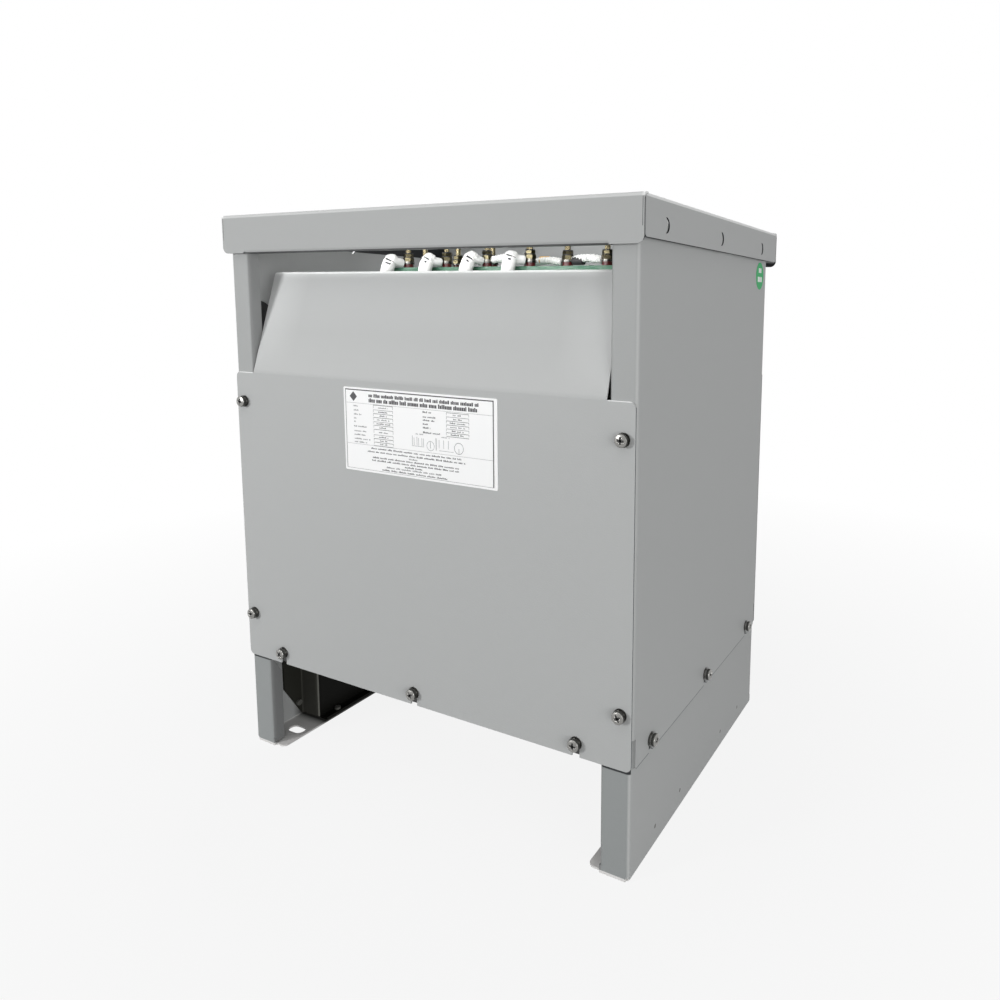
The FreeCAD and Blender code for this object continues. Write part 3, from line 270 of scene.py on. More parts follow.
panelValues = {
    "coat": enamel,
    # The baffle's tones are painted light, and the lip tone a painted highlight.
    "tones": {"slant": (0.50, 0.51, 0.507), "slantTop": (0.585, 0.597, 0.595), "slantEnd": (0.74, 0.752, 0.75),
              "lip": (0.90, 0.91, 0.905)},
    "masks": {
        "slant": (("z", "above", 0.4395, 0.4435),),
        "slantTop": (("z", "above", 0.485, 0.5478),),
        "slantEnd": (("across", "above", 0.165, 0.2226), ("z", "above", 0.4395, 0.5478)),
        "shoulder": (("across", "above", 0.2226, 0.2231), ("z", "above", 0.4386, 0.4391)),
        "lip": (("z", "above", 0.5478, 0.5488),),
        "edge": (("across", "above", 0.2492, 0.2494), ("along", "below", 0.1788, 0.179)),
    },
}


def panelEnamel():
    # The slanted baffle above the fold is painted a shade paler as light, more so upwards and outwards, its
    # folded lip and the upper edge of the shoulders paler still as a painted highlight, and the upright cut
    # edges are painted dark as shade in the gap beside the posts.
    material, tree, zone, tone = zoned("panelEnamel", panelValues)
    slant = mixColour(tree, zone["slantTop"], tone["slant"], tone["slantTop"])
    slant = mixColour(tree, zone["slantEnd"], slant, tone["slantEnd"])
    pale = mathNode(tree, "MAXIMUM", zone["lip"], zone["shoulder"])
    return paint(material, tone["base"], (zone["slant"], slant), (pale, tone["lip"]), (zone["edge"], tone["gapShade"]))


sideValues = {
    "coat": enamel,
    # The post tones are painted shade.
    "tones": {"post": (0.385, 0.395, 0.393), "postLip": (0.30, 0.305, 0.305)},
    "postGrain": 0.06,  # more variation on the posts
    "masks": {
        "covered": (("z", "above", 0.5746, 0.5754), ("across", "above", 0.2497, 0.2502)),
        "post": (("along", "above", 0.1754, 0.1756),),
        "postLip": (("along", "above", 0.1625, 0.1635), ("across", "below", 0.225, 0.2254)),
        "bend": (("across", "above", 0.2475, 0.2491), ("along", "above", 0.1745, 0.1761)),
        "lowerEdge": (("z", "below", 0.1086, 0.1089),),
    },
}


def sideEnamel():
    # The outer face where the lid covers it and the lower edge are painted dark as shade; the posts are
    # grainy and painted a shade darker as shade, their lips darker still, and the bends between are
    # painted paler as a highlight.
    v = sideValues
    material, tree, zone, tone = zoned("sideEnamel", v)
    grain = mathNode(tree, "ADD", mathNode(tree, "MULTIPLY", zone["post"], v["postGrain"]), enamel["variation"])
    feed(tree, grain, tree.nodes["detail"].inputs["Variation"])
    return paint(material, tone["base"], (zone["post"], tone["post"]), (zone["postLip"], tone["postLip"]),
                 (zone["bend"], tone["bend"]), (zone["lowerEdge"], tone["gapShade"]), (zone["covered"], tone["cut"]))


legValues = {
    "coat": {**enamel, "rough": 0.52, "variation": 0.02, "swing": 0.05, "bumpStrength": 0.45},
    # Painted tones: the first is painted shade deep in the leg, the foot's is painted light, and the flange and lip
    # tones are painted shade.
    "tones": {"deepShade": (0.06, 0.06, 0.056), "litFoot": (0.76, 0.75, 0.74), "flange": (0.305, 0.32, 0.32),
              "lip": (0.225, 0.23, 0.23)},
    # how much of the strip of painted shade above the panel's lower edge is lost at the corner
    "cornerShare": -0.78,
    "masks": {
        "open": (("along", "above", 0.116, 0.128),),
        "litFoot": (("z", "below", 0.0026, 0.0032), ("along", "above", 0.116, 0.128)),
        "flange": (("along", "above", 0.1625, 0.1635), ("z", "above", 0.0026, 0.0032)),
        "lip": (("along", "above", 0.1625, 0.1635), ("z", "above", 0.0026, 0.0032),
                ("across", "below", 0.219, 0.2194)),
        "outer": (("across", "above", 0.2472, 0.2484),),
        "bend": (("across", "above", 0.2454, 0.247), ("along", "above", 0.1745, 0.1761)),
        "strip": (("z", "above", 0.1084, 0.1088), ("across", "above", 0.2472, 0.2484)),
        "corner": (("along", "above", 0.1712, 0.1718),),
        "behindPanel": (("z", "above", 0.1046, 0.1054), ("along", "above", 0.1754, 0.1756)),
    },
}


def legEnamel():
    # Front and rear flanges and lips are painted a shade darker as shade, and the coat is painted dark as
    # shade deep behind the brackets and where the panels cover it, with a painted shadow just below the
    # front panel's lower edge; the outer wall and the open part of the inner wall keep the full tone, and
    # the foot is painted paler as light.
    v = legValues
    material, tree, zone, tone = zoned("legEnamel", v)
    corner = mathNode(tree, "ADD", mathNode(tree, "MULTIPLY", zone["corner"], v["cornerShare"]), 1.0)
    # Painted shade behind the side panel's edge and a painted shadow below the front panel's edge.
    panelShadow = mathNode(tree, "MAXIMUM", mathNode(tree, "MULTIPLY", zone["strip"], corner), zone["behindPanel"])
    return paint(material, tone["deepShade"], (zone["open"], tone["base"]), (zone["litFoot"], tone["litFoot"]),
                 (zone["flange"], tone["flange"]), (zone["lip"], tone["lip"]), (zone["outer"], tone["base"]),
                 (zone["bend"], tone["bend"]), (panelShadow, tone["cut"]))


bracketValues = {
    "coat": {"colour": (0.03, 0.03, 0.025), "rough": 0.55, "fine": 500.0, "broad": 14.0, "variation": 0.2,
             "swing": 0.1, "bumpStrength": 0.35, "gloss": 0.06},
    # Painted tones: shade on the crowns, light on the webs, and a highlight along the fold.
    "tones": {"web": (0.06, 0.06, 0.052), "crown": (0.006, 0.006, 0.005), "foldHighlight": (0.20, 0.20, 0.18)},
    "masks": {
        "web": (("along", "between", 0.1125, 0.117, 0.0004),),
        "crown": (("across", "below", 0.2174, 0.2178),),
        "foldHighlight": (("across", "below", 0.2174, 0.2178), ("along", "above", 0.1135, 0.1139),
                   ("along", "between", 0.1125, 0.117, 0.0004)),
    },
}


def bracketSteel():
    # Dark paint, painted nearly black as shade on the crowns that face the middle, a shade paler as
    # painted light on the webs that face front and rear, and with a painted highlight along the fold
    # between them.
    material, tree, zone, tone = zoned("bracketSteel", bracketValues)
    return paint(material, tone["base"], *((zone[name], tone[name]) for name in ("web", "crown", "foldHighlight")))


# Plated metal: crystals as small cells that change the tone, and worn flats.
plated = {"rough": 0.28, "metallic": 1.0, "fine": 2600.0, "broad": 160.0, "variation": 0.22, "swing": 0.14,
          "bumpStrength": 0.2, "bumpDistance": 0.0001}
# Varnished windings, under a clear coat.
varnished = {"fine": 500.0, "broad": 20.0, "variation": 0.3, "swing": 0.1, "coat": 0.4}
printed = {"rough": 0.45, "fine": 1400.0, "variation": 0.1}
finishValues = {
    "greyEnamel": enamel,
    "zincPlate": {"colour": (0.27, 0.267, 0.256), **plated},
    # A darker copy of the zinc, as painted shade round screw heads and on washers.
    "shadedZinc": {"colour": (0.10, 0.10, 0.095), **plated},
    "bronze": {"colour": (0.085, 0.075, 0.045), **plated},
    "tinned": {"colour": (0.16, 0.155, 0.14), **plated},
    "brass": {"colour": (0.46, 0.39, 0.24), "rough": 0.22, "metallic": 1.0, "fine": 1800.0, "broad": 120.0,
              "variation": 0.25, "swing": 0.12, "bumpStrength": 0.15},
    "recessShade": {"colour": (0.03, 0.03, 0.03), "rough": 0.55, "metallic": 0.4, "fine": 2400.0, "variation": 0.2},
    "blackSteel": {"colour": (0.022, 0.022, 0.022), "rough": 0.45, "fine": 800.0},
    "darkSteel": {"colour": (0.03, 0.03, 0.025), "rough": 0.48, "fine": 500.0, "broad": 14.0, "variation": 0.16,
                  "swing": 0.1, "bumpStrength": 0.35, "gloss": 0.25},
    "boltBlack": {"colour": (0.11, 0.11, 0.10), "rough": 0.4, "fine": 900.0, "variation": 0.15},
    "clampSteel": {"colour": (0.10, 0.105, 0.105), "rough": 0.42, "fine": 700.0, "variation": 0.08},
    "plateFilm": {"colour": (0.95, 0.955, 0.955), "rough": 0.32, "fine": 300.0, "variation": 0.01, "swing": 0.03,
                  "bumpStrength": 0.05, "coat": 0.2},
    "ink": {"colour": (0.035, 0.035, 0.04), **printed},
    "paleInk": {"colour": (0.20, 0.20, 0.21), **printed},
    "stickerGreen": {"colour": (0.10, 0.50, 0.21), "rough": 0.6, "fine": 500.0, "variation": 0.05,
                     "bumpStrength": 0.05, "gloss": 0.08},
    "stickerWhite": {"colour": (0.93, 0.95, 0.94), "rough": 0.35, "fine": 500.0, "variation": 0.03},
    "blackRubber": {"colour": (0.028, 0.028, 0.03), "rough": 0.62, "fine": 1500.0, "broad": 40.0,
                    "variation": 0.2, "swing": 0.1, "bumpStrength": 0.4},
    "coreSteel": {"colour": (0.12, 0.115, 0.108), "rough": 0.5, "metallic": 0.3, "fine": 700.0, "broad": 14.0,
                  "variation": 0.2, "swing": 0.12},
    "windingTube": {"colour": (0.42, 0.30, 0.13), "rough": 0.5, "fine": 400.0, "variation": 0.2},
    "innerCoil": {"colour": (0.36, 0.19, 0.05), "rough": 0.42, **varnished},
    "outerCoil": {"colour": (0.30, 0.145, 0.04), "rough": 0.35, **varnished},
    "pressboard": {"colour": (0.42, 0.29, 0.13), "rough": 0.7, "fine": 600.0, "broad": 30.0, "variation": 0.18,
                   "swing": 0.06, "bumpStrength": 0.4},
    "boardGreen": {"colour": (0.045, 0.145, 0.085), "rough": 0.6, "fine": 420.0, "broad": 60.0,
                   "variation": 0.16, "swing": 0.1, "coat": 0.05},
    "insulatorRed": {"colour": (0.085, 0.008, 0.008), "rough": 0.35, "fine": 700.0, "variation": 0.1},
    "yellowBand": {"colour": (0.75, 0.42, 0.06), "rough": 0.4, "fine": 600.0, "variation": 0.06},
    "sleeveWhite": {"colour": (0.90, 0.90, 0.885), "rough": 0.5, "fine": 420.0, "broad": 70.0,
                    "variation": 0.035, "swing": 0.08, "bumpStrength": 0.35, "bumpDistance": 0.0004},
}
ridgeValues = {
    # scale, distortion, detail scale, direction, strength and depth of the waves
    "coreSteel": (320.0, 0.4, 2.0, "Y", 0.5, 0.0002),
    "innerCoil": (80.0, 0.6, 3.0, "Z", 0.6, 0.0008),
    "outerCoil": (210.0, 0.6, 3.0, "Z", 0.6, 0.0008),
}
streakValues = {"stretch": (90.0, 520.0, 520.0), "noise": (1.0, 4.0, 0.62), "range": (0.46, 0.68),
                "fibre": (0.13, 0.24, 0.17)}


def ridges(material, scale, distortion, detailScale, direction, strength, depth):
    # Edges of the core sheets, or turns of a winding: waves along one axis feed a bump.
    tree = material.node_tree
    inputs = {"Vector": objectPoint(tree), "Scale": scale, "Distortion": distortion, "Detail": 1.0,
              "Detail Scale": detailScale}
    wave = addNode(tree, "ShaderNodeTexWave", inputs, bands_direction=direction).outputs["Fac"]
    feed(tree, bump(tree, wave, strength, depth), tree.nodes["Principled BSDF"].inputs["Normal"])


def fibreStreaks(material, board):
    # Glass polyester sheet: pale streaks of fibre, which are a noise drawn out along X.
    v = streakValues
    tree = material.node_tree
    stretch = addNode(tree, "ShaderNodeVectorMath", {0: objectPoint(tree), 1: v["stretch"]}, operation="MULTIPLY")
    streak = ramp(tree, noise(tree, stretch.outputs[0], *v["noise"]), *v["range"])
    paint(material, board, (streak, v["fibre"]))


finish = {name: detailed(name, **values) for name, values in finishValues.items()}
for name, values in ridgeValues.items():
    ridges(finish[name], *values)
fibreStreaks(finish["boardGreen"], finishValues["boardGreen"]["colour"])
panelCoat = panelEnamel()
nodeFinish = {
    # by the start of a node's name
    "lid": lidEnamel(), "front_panel": panelCoat, "rear_panel": panelCoat, "side_panel": sideEnamel(),
    # The washers take the darker zinc as painted shade.
    "leg_frame": legEnamel(), "core_brackets": bracketSteel(), "flat_washers": finish["shadedZinc"],
    "stud_washers": finish["shadedZinc"], "bracket_bolts": finish["boltBlack"],
}
slotFinish = {
    "grey_enamel": "greyEnamel", "zinc": "zincPlate", "black_spring_steel": "blackSteel", "dark_steel": "darkSteel",
    "clamp_steel": "clampSteel", "plate_film": "plateFilm", "sticker_film": "stickerGreen",
    "black_rubber": "blackRubber", "core_steel": "coreSteel", "winding_tube": "windingTube",
    "inner_coil": "innerCoil", "outer_coil": "outerCoil", "pressboard": "pressboard", "board_green": "boardGreen",
    "insulator_red": "insulatorRed", "brass": "brass", "tinned_copper": "tinned", "sleeve_white": "sleeveWhite",
}
slotOf = {row["node"]: row["material_slot"] for row in frame["record"]["subparts"]}
for name, thing in nodes.items():
    special = [material for start, material in nodeFinish.items() if name.startswith(start)]
    thing.data.materials.clear()
    thing.data.materials.append(special[0] if special else finish[slotFinish[slotOf[name]]])
print("materials assigned")


def meshObject(name, points, faces, material, slot, smooth=True):
    data = bpy.data.meshes.new(name)
    data.from_pydata(points, [], faces)
    data.update()
    data.materials.append(material)
    thing = addObject(name, data)
    if smooth:
        data.polygons.foreach_set("use_smooth", [True] * len(data.polygons))
    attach(thing, "root")
    return thing


def markFaces(thing, marked, material):
    # Gives a second material to the faces that an array of true and false picks out.
    thing.data.materials.append(material)
    thing.data.polygons.foreach_set("material_index", marked.ravel().astype(np.int32))


def gridFaces(rows, columns, closed=False):
    # Quads between neighbouring rows of a grid whose rows close on themselves; closed also joins
    # the last row to the first.
    a = np.arange(rows * columns).reshape(rows, columns)
    b = np.roll(a, -1, axis=1)
    quads = np.stack([a, b, np.roll(b, -1, axis=0), np.roll(a, -1, axis=0)], axis=-1)
    return quads[:rows if closed else rows - 1].reshape(-1, 4).tolist()


def endCaps(rows, columns):
    # One face over the first row and one over the last.
    return [list(range(columns))[::-1], [(rows - 1) * columns + k for k in range(columns)]]


def anglesOf(steps):
    # Equal steps round a full turn, in radians.
    return fullTurn * np.arange(steps) / steps


def turned(origin, axis, side, radius, height, turn=0.0):
    # Rows of points round an axis: origin + height * axis + radius * (cos * side + sin * third) of the
    # angle, with a radius for each row and angle and a height for each row, or for each of both.
    origin, axis, side = (np.array(way, dtype=float) for way in (origin, axis, side))
    angle = anglesOf(radius.shape[1]) + turn
    circle = np.cos(angle)[:, None] * side + np.sin(angle)[:, None] * np.cross(axis, side)
    return (origin + height[..., None] * axis + radius[..., None] * circle).reshape(-1, 3)


def lathe(profile, steps, origin, axis, side):
    # Turned surface: each profile point (radius, height) goes round the axis in equal steps.
    radius, height = np.array(profile, dtype=float).T[..., None]
    points = turned(origin, axis, side, np.repeat(radius, steps, axis=1), height)
    return points, gridFaces(len(profile), steps)


def gather(parts):
    # Several (points, faces) pairs as one.
    starts = np.cumsum([0] + [len(points) for points, _ in parts]).tolist()
    faces = [[start + i for i in face] for start, (_, some) in zip(starts, parts) for face in some]
    return np.concatenate([points for points, _ in parts]), faces


def islands(thing):
    # Boxes of the separate solids of a node. Vertices at one place count as one, and each takes the
    # lowest number among its neighbours until a whole solid has the same one.
    mesh = thing.data
    points = np.empty(len(mesh.vertices) * 3, dtype=np.float32)
    ends = np.empty(len(mesh.edges) * 2, dtype=np.int32)
    mesh.vertices.foreach_get("co", points)
    mesh.edges.foreach_get("vertices", ends)
    points = points.reshape(-1, 3)
    spot = np.unique(points.astype(float).round(6), axis=0, return_inverse=True)[1].ravel()
    a, b = spot[ends].reshape(-1, 2).T
    number = np.arange(spot.max() + 1)
    while (number[a] != number[b]).any():
        lowest = np.minimum(number[a], number[b])
        np.minimum.at(number, a, lowest)
        np.minimum.at(number, b, lowest)
    solids = [points[number[spot] == k] for k in np.unique(number)]
    return [(Vector(solid.min(axis=0)), Vector(solid.max(axis=0))) for solid in solids]


screwValues = {
    "head": 0.006, "height": 0.0044, "steps": 48, "rings": 26,
    # the dome ends at a share of the head's radius and falls by a power of the radius
    "domeShare": 0.93, "domeTop": 0.0042, "domeFall": 0.0011, "domePower": 2.4,
    # cross recess: length and half width of an arm, their soft edges, taper, depth and its taper
    "recess": 0.0035, "arm": 0.00108, "armSoft": 0.00028, "endSoft": 0.0003, "armTaper": (1.25, 0.45),
    "depth": 0.0024, "depthTaper": 0.65,
    # radius and height of the rim, seat and neck, then the shank, which ends short of its box, and its tip
    "wall": [(0.00588, 0.002904), (0.006, 0.0022), (0.006, 0.0003), (0.00582, 0.0), (0.003, 0.0), (0.003, -0.0028)],
    "shank": 0.003, "shankStart": -0.0028, "shankShort": 0.0035, "tip": 0.0024, "tipLength": 0.0006,
    "shankSteps": 16,
    # painted shade in the recess, a dark cross: depth below the head's height, half length and half width
    "shadeCross": (0.0009, 0.00301, 0.000972),
    # faces round the rim given the darker zinc as painted shade, as rows of the wall
    "shadedRim": (1, 5),
    # node, direction of the screws as a number of the axis, and how each one's recess is turned
    "sets": {"panelScrewHeads": ("panel_screws", 1, (30.0, 0.0, 17.0), 0.0),
             "sideScrewHeads": ("side_screws", 0, (0.0, 40.0, 0.0), 1.0)},
}


def screwHead(seat, axis, side):
    # Pan head: the height falls by a power of the radius, and the face rolls over into a short wall.
    # The cross recess sinks every point whose distance to one of the two centre lines is under the
    # arm's half width.
    v = screwValues
    faceRadius = v["head"] * v["domeShare"]
    radius = np.repeat(np.linspace(0.0, faceRadius, v["rings"] + 1)[:, None], v["steps"], axis=1)
    angle = anglesOf(v["steps"])
    u, w = np.abs(radius * np.cos(angle)), np.abs(radius * np.sin(angle))
    across, along = np.minimum(u, w), np.maximum(u, w) / v["recess"]
    dome = v["domeTop"] - v["domeFall"] * (radius / v["head"]) ** v["domePower"]
    arm = v["arm"] * (v["armTaper"][0] - v["armTaper"][1] * along)
    inside = (np.clip((arm - across) / v["armSoft"], 0.0, 1.0)
              * np.clip((1.0 - along) * v["recess"] / v["endSoft"], 0.0, 1.0))
    height = dome - inside * v["depth"] * (1.0 - v["depthTaper"] * along)
    face = turned(seat, axis, side, radius, height), gridFaces(v["rings"] + 1, v["steps"])
    edge = v["domeTop"] - v["domeFall"] * v["domeShare"] ** v["domePower"]
    return gather([face, lathe([(faceRadius, edge)] + v["wall"], v["steps"], seat, axis, side)])


def recessCover(seat, axis, side):
    # Painted shade in the bottom of the recess: a thin dark cross a little above its floor.
    depth, length, width = screwValues["shadeCross"]
    third = np.cross(axis, side)
    middle = seat + axis * (screwValues["height"] - depth)
    points = [middle + a * u * length + b * w * width for a, b in ((side, third), (third, -side))
              for u, w in ((-1, -1), (1, -1), (1, 1), (-1, 1))]
    return np.array(points), [(0, 1, 2, 3), (4, 5, 6, 7)]


def screwShank(seat, axis, side, length):
    # Plain shank with a tip that narrows.
    v = screwValues
    start, end = v["shankStart"], v["shankStart"] - length
    profile = [(v["shank"], start), (v["shank"], end), (v["tip"], end - v["tipLength"]), (0.0, end - v["tipLength"])]
    return lathe(profile, v["shankSteps"], seat, axis, side)


def screws(name, node, way, tilts, extraTilt):
    # One screw for each solid of the node; the outer end of its box gives the head's place.
    v = screwValues
    parts, darkParts = [], []
    boxes = islands(nodes[node])
    for low, high in boxes:
        low, high = np.array(low, dtype=float), np.array(high, dtype=float)
        seat = (low + high) / 2
        sign = 1.0 if seat[way] > 0 else -1.0
        tilt = seat.dot(tilts) + extraTilt * sign
        seat[way] = (high[way] if sign > 0 else low[way]) - sign * v["height"]
        axis = np.zeros(3)
        axis[way] = sign
        side = np.array((Matrix.Rotation(tilt, 3, Vector(axis)) @ Vector((0, 0, 1))).normalized())
        parts.append(screwHead(seat, axis, side))
        parts.append(screwShank(seat, axis, side, high[way] - low[way] - v["height"] - v["shankShort"]))
        darkParts.append(recessCover(seat, axis, side))
    points, faces = gather(parts)
    # The rows run from the middle of a head to its tip, so each face is turned to point outwards.
    thing = meshObject(name, points, [face[::-1] for face in faces], finish["zincPlate"], "zinc")
    wall = v["rings"] * v["steps"]
    marked = np.zeros((len(boxes), len(faces) // len(boxes)), dtype=bool)
    marked[:, wall + v["shadedRim"][0] * v["steps"]:wall + v["shadedRim"][1] * v["steps"]] = True
    # The rim's rows take the darker zinc as painted shade.
    markFaces(thing, marked, finish["shadedZinc"])
    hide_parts(node)
    # The dark crosses are painted shade in the recesses.
    meshObject(name + "Recess", *gather(darkParts), finish["recessShade"], "zinc", smooth=False)


for name, values in screwValues["sets"].items():
    screws(name, *values)
print("screws made")


studValues = {"radius": 0.003, "pitch": 0.001, "depth": 0.00045, "steps": 20, "perTurn": 4, "end": 0.0006,
              "endDepth": 0.0005}
nutValues = {
    "bore": 0.00305, "steps": 48,
    # share of the height and of the corner's radius, from bottom to top
    "levels": [(0.0, 0.955), (0.09, 0.985), (0.17, 1.01), (0.83, 1.01), (0.91, 0.985), (1.0, 0.955)],
    # each nut's own angle: by its X and its height, and how much more an upper one is turned
    "turns": (137.0, 500.0, 3.1),
    # a pair taller than this is drawn as two nuts, the upper one from this share of the height
    "pair": 0.0045, "split": 0.48, "lowerEnd": -0.0004, "upperStart": 0.0006, "upperEnd": -0.0011,
    "lowerFlats": 0.01, "upperFlats": 0.009, "singleFlats": 0.0092,
    # washers over the two nuts: radius, steps, edge and thickness
    "lowerWasher": 0.0052, "upperWasher": 0.0049, "washerUp": -0.00105, "washerSteps": 32, "washerEdge": 0.0001,
    "washerThick": 0.001,
}
upright = ((0.0, 0.0, 1.0), (1.0, 0.0, 0.0))


def threaded(x, y, low, high):
    # Thread: radius falls by the depth times a triangle wave of (height / pitch + angle / full turn),
    # and a little more at the upper end.
    v = studValues
    rows = int(round((high - low) / v["pitch"] * v["perTurn"])) + 1
    z = np.linspace(low, high, rows)[:, None]
    phase = (z / v["pitch"] + np.arange(v["steps"]) / v["steps"]) % 1.0
    nearEnd = np.maximum(0.0, 1.0 - (high - z) / v["end"])
    radius = v["radius"] - v["depth"] * np.abs(2 * phase - 1) - v["endDepth"] * nearEnd
    return turned((x, y, 0.0), *upright, radius, z), gridFaces(rows, v["steps"]) + endCaps(rows, v["steps"])


def hexNut(x, y, low, high, flats, turn):
    # Nut with its corners turned down: the radius at each angle is the hexagon's, flats / 2 / cos of the
    # angle from the middle of a flat, capped near both ends.
    v = nutValues
    levels = np.array(v["levels"])
    halfFlat = math.pi / 6
    hexagon = flats / 2 / np.cos((anglesOf(v["steps"]) + halfFlat) % (2 * halfFlat) - halfFlat)
    bore = np.full((1, v["steps"]), v["bore"])
    radius = np.vstack([bore, np.minimum(hexagon, flats / math.sqrt(3) * levels[:, 1:]), bore])
    z = np.concatenate([[low], low + (high - low) * levels[:, 0], [high]])[:, None]
    points = turned((x, y, 0.0), *upright, radius, z, turn)
    return points, gridFaces(len(z), v["steps"], closed=True)


def nutWasher(x, y, base, radius):
    # Flat ring with its outer edges broken.
    v = nutValues
    edge, top = v["washerEdge"], v["washerThick"]
    profile = [(v["bore"], 0.0), (radius - edge, 0.0), (radius, 2 * edge), (radius, top - 2 * edge),
               (radius - edge, top), (v["bore"], top), (v["bore"], 0.0)]
    return lathe(profile, v["washerSteps"], (x, y, base), *upright)


def terminalHardware():
    # Studs and nuts stand where the solids of the frame do, and a tall nut is drawn as a pair.
    v = nutValues
    studs, nuts, washers = [], [], []
    for low, high in islands(nodes["terminal_studs"]):
        studs.append(threaded((low.x + high.x) / 2, (low.y + high.y) / 2, low.z, high.z))
    for low, high in islands(nodes["stud_nuts"]):
        x, y = (low.x + high.x) / 2, (low.y + high.y) / 2
        turn = (x * v["turns"][0] + low.z * v["turns"][1]) % 1.0
        if high.z - low.z > v["pair"]:
            split = low.z + v["split"] * (high.z - low.z)
            nuts.append(hexNut(x, y, low.z, split + v["lowerEnd"], v["lowerFlats"], turn))
            nuts.append(hexNut(x, y, split + v["upperStart"], high.z + v["upperEnd"], v["upperFlats"],
                               turn * v["turns"][2]))
            washers.append(nutWasher(x, y, split + v["lowerEnd"], v["lowerWasher"]))
            washers.append(nutWasher(x, y, high.z + v["washerUp"], v["upperWasher"]))
        else:
            nuts.append(hexNut(x, y, low.z, high.z, v["singleFlats"], turn))
    thing = meshObject("terminalStudThreads", *gather(studs), finish["brass"], "brass")
    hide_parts("terminal_studs")
    thing = meshObject("terminalNuts", *gather(nuts), finish["bronze"], "brass", smooth=False)
    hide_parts("stud_nuts")
    meshObject("nutSpringWashers", *gather(washers), finish["blackSteel"], "brass", smooth=False)


terminalHardware()
print("terminals made")


plateValues = {
    "proud": 0.00006,
    # frame lines as left, right, top, bottom shares of the plate
    "heavy": [(0.012, 0.98, 0.022, 0.035), (0.974, 0.98, 0.024, 0.975)],
    "light": [(0.012, 0.016, 0.024, 0.975), (0.012, 0.98, 0.971, 0.975), (0.02, 0.975, 0.184, 0.187),
              (0.02, 0.975, 0.673, 0.676)],
    "mark": (0.07, 0.108, 0.0050),
    # rows of blocks: where they start and how long they are, then their height
    "titles": [(0.178, 0.892, 0.064, 0.104), (0.178, 0.892, 0.117, 0.165)],
    "leftRows": [(0.219, 0.03), (0.27, 0.033), (0.318, 0.053), (0.366, 0.017), (0.406, 0.013), (0.462, 0.09),
                 (0.517, 0.086), (0.561, 0.078), (0.61, 0.113), (0.65, 0.088)],
    "middleRows": [(0.216, 0.055), (0.27, 0.088), (0.308, 0.076), (0.352, 0.033), (0.394, 0.047), (0.448, 0.108)],
    "notes": [(0.187, 0.782, 0.706), (0.162, 0.807, 0.747), (0.445, 0.507, 0.781), (0.197, 0.766, 0.813),
              (0.192, 0.766, 0.848), (0.417, 0.536, 0.883), (0.293, 0.66, 0.913), (0.262, 0.70, 0.949)],
    "leftStart": 0.07, "middleStart": 0.542,
    "heights": {"left": 0.017, "middle": 0.02, "box": 0.017, "plan": 0.012, "note": 0.019},
    # the boxes for values: left, right, and the top of each rule
    "boxes": [(0.209, 0.343, [0.19, 0.245, 0.29, 0.335, 0.385, 0.428, 0.475, 0.54, 0.585, 0.627, 0.668]),
              (0.692, 0.832, [0.197, 0.243, 0.288, 0.333, 0.378, 0.42, 0.463])],
    "rule": 0.0052, "upright": 0.002, "uprightShare": 0.7, "boxInset": (0.02, 0.045), "boxMiddle": 0.52,
    # the plan: strokes, rings as middle, radius and line width, and two short rows
    "strokes": [(0.47, 0.4722, 0.50, 0.61), (0.481, 0.4832, 0.52, 0.61), (0.50, 0.5022, 0.508, 0.61),
                (0.511, 0.5132, 0.52, 0.61), (0.532, 0.5342, 0.516, 0.61), (0.543, 0.5452, 0.52, 0.61),
                (0.468, 0.548, 0.615, 0.619), (0.643, 0.6452, 0.515, 0.61), (0.672, 0.6742, 0.515, 0.61),
                (0.702, 0.7042, 0.515, 0.61), (0.643, 0.735, 0.636, 0.640), (0.5875, 0.590, 0.55, 0.625),
                (0.767, 0.7695, 0.59, 0.65)],
    "heavyStroke": (0.6235, 0.6265, 0.50, 0.64),
    "rings": [(0.589, 0.597, 0.0048, 0.0004), (0.768, 0.589, 0.0056, 0.0005)], "ringSteps": 32,
    "planRows": [(0.492, 0.55, 0.475), (0.66, 0.71, 0.482)],
    # blocks in a row: width, height it is meant for, shares of the height, gaps and numbers in a group
    "block": (0.004, 0.0075), "meant": 0.022, "talls": [0.62, 0.62, 0.8, 1.0], "lowest": 0.62, "titleLowest": 0.78,
    "gap": 0.0022, "titleGap": 0.0016, "groupGap": 0.010, "firstGroup": (3, 9), "nextGroups": (3, 10),
    # numbers of the pale notes, how often a rule is pale, and the seed of the random draws
    "paleNotes": (2, 6), "paleEvery": 3, "seed": 11,
}


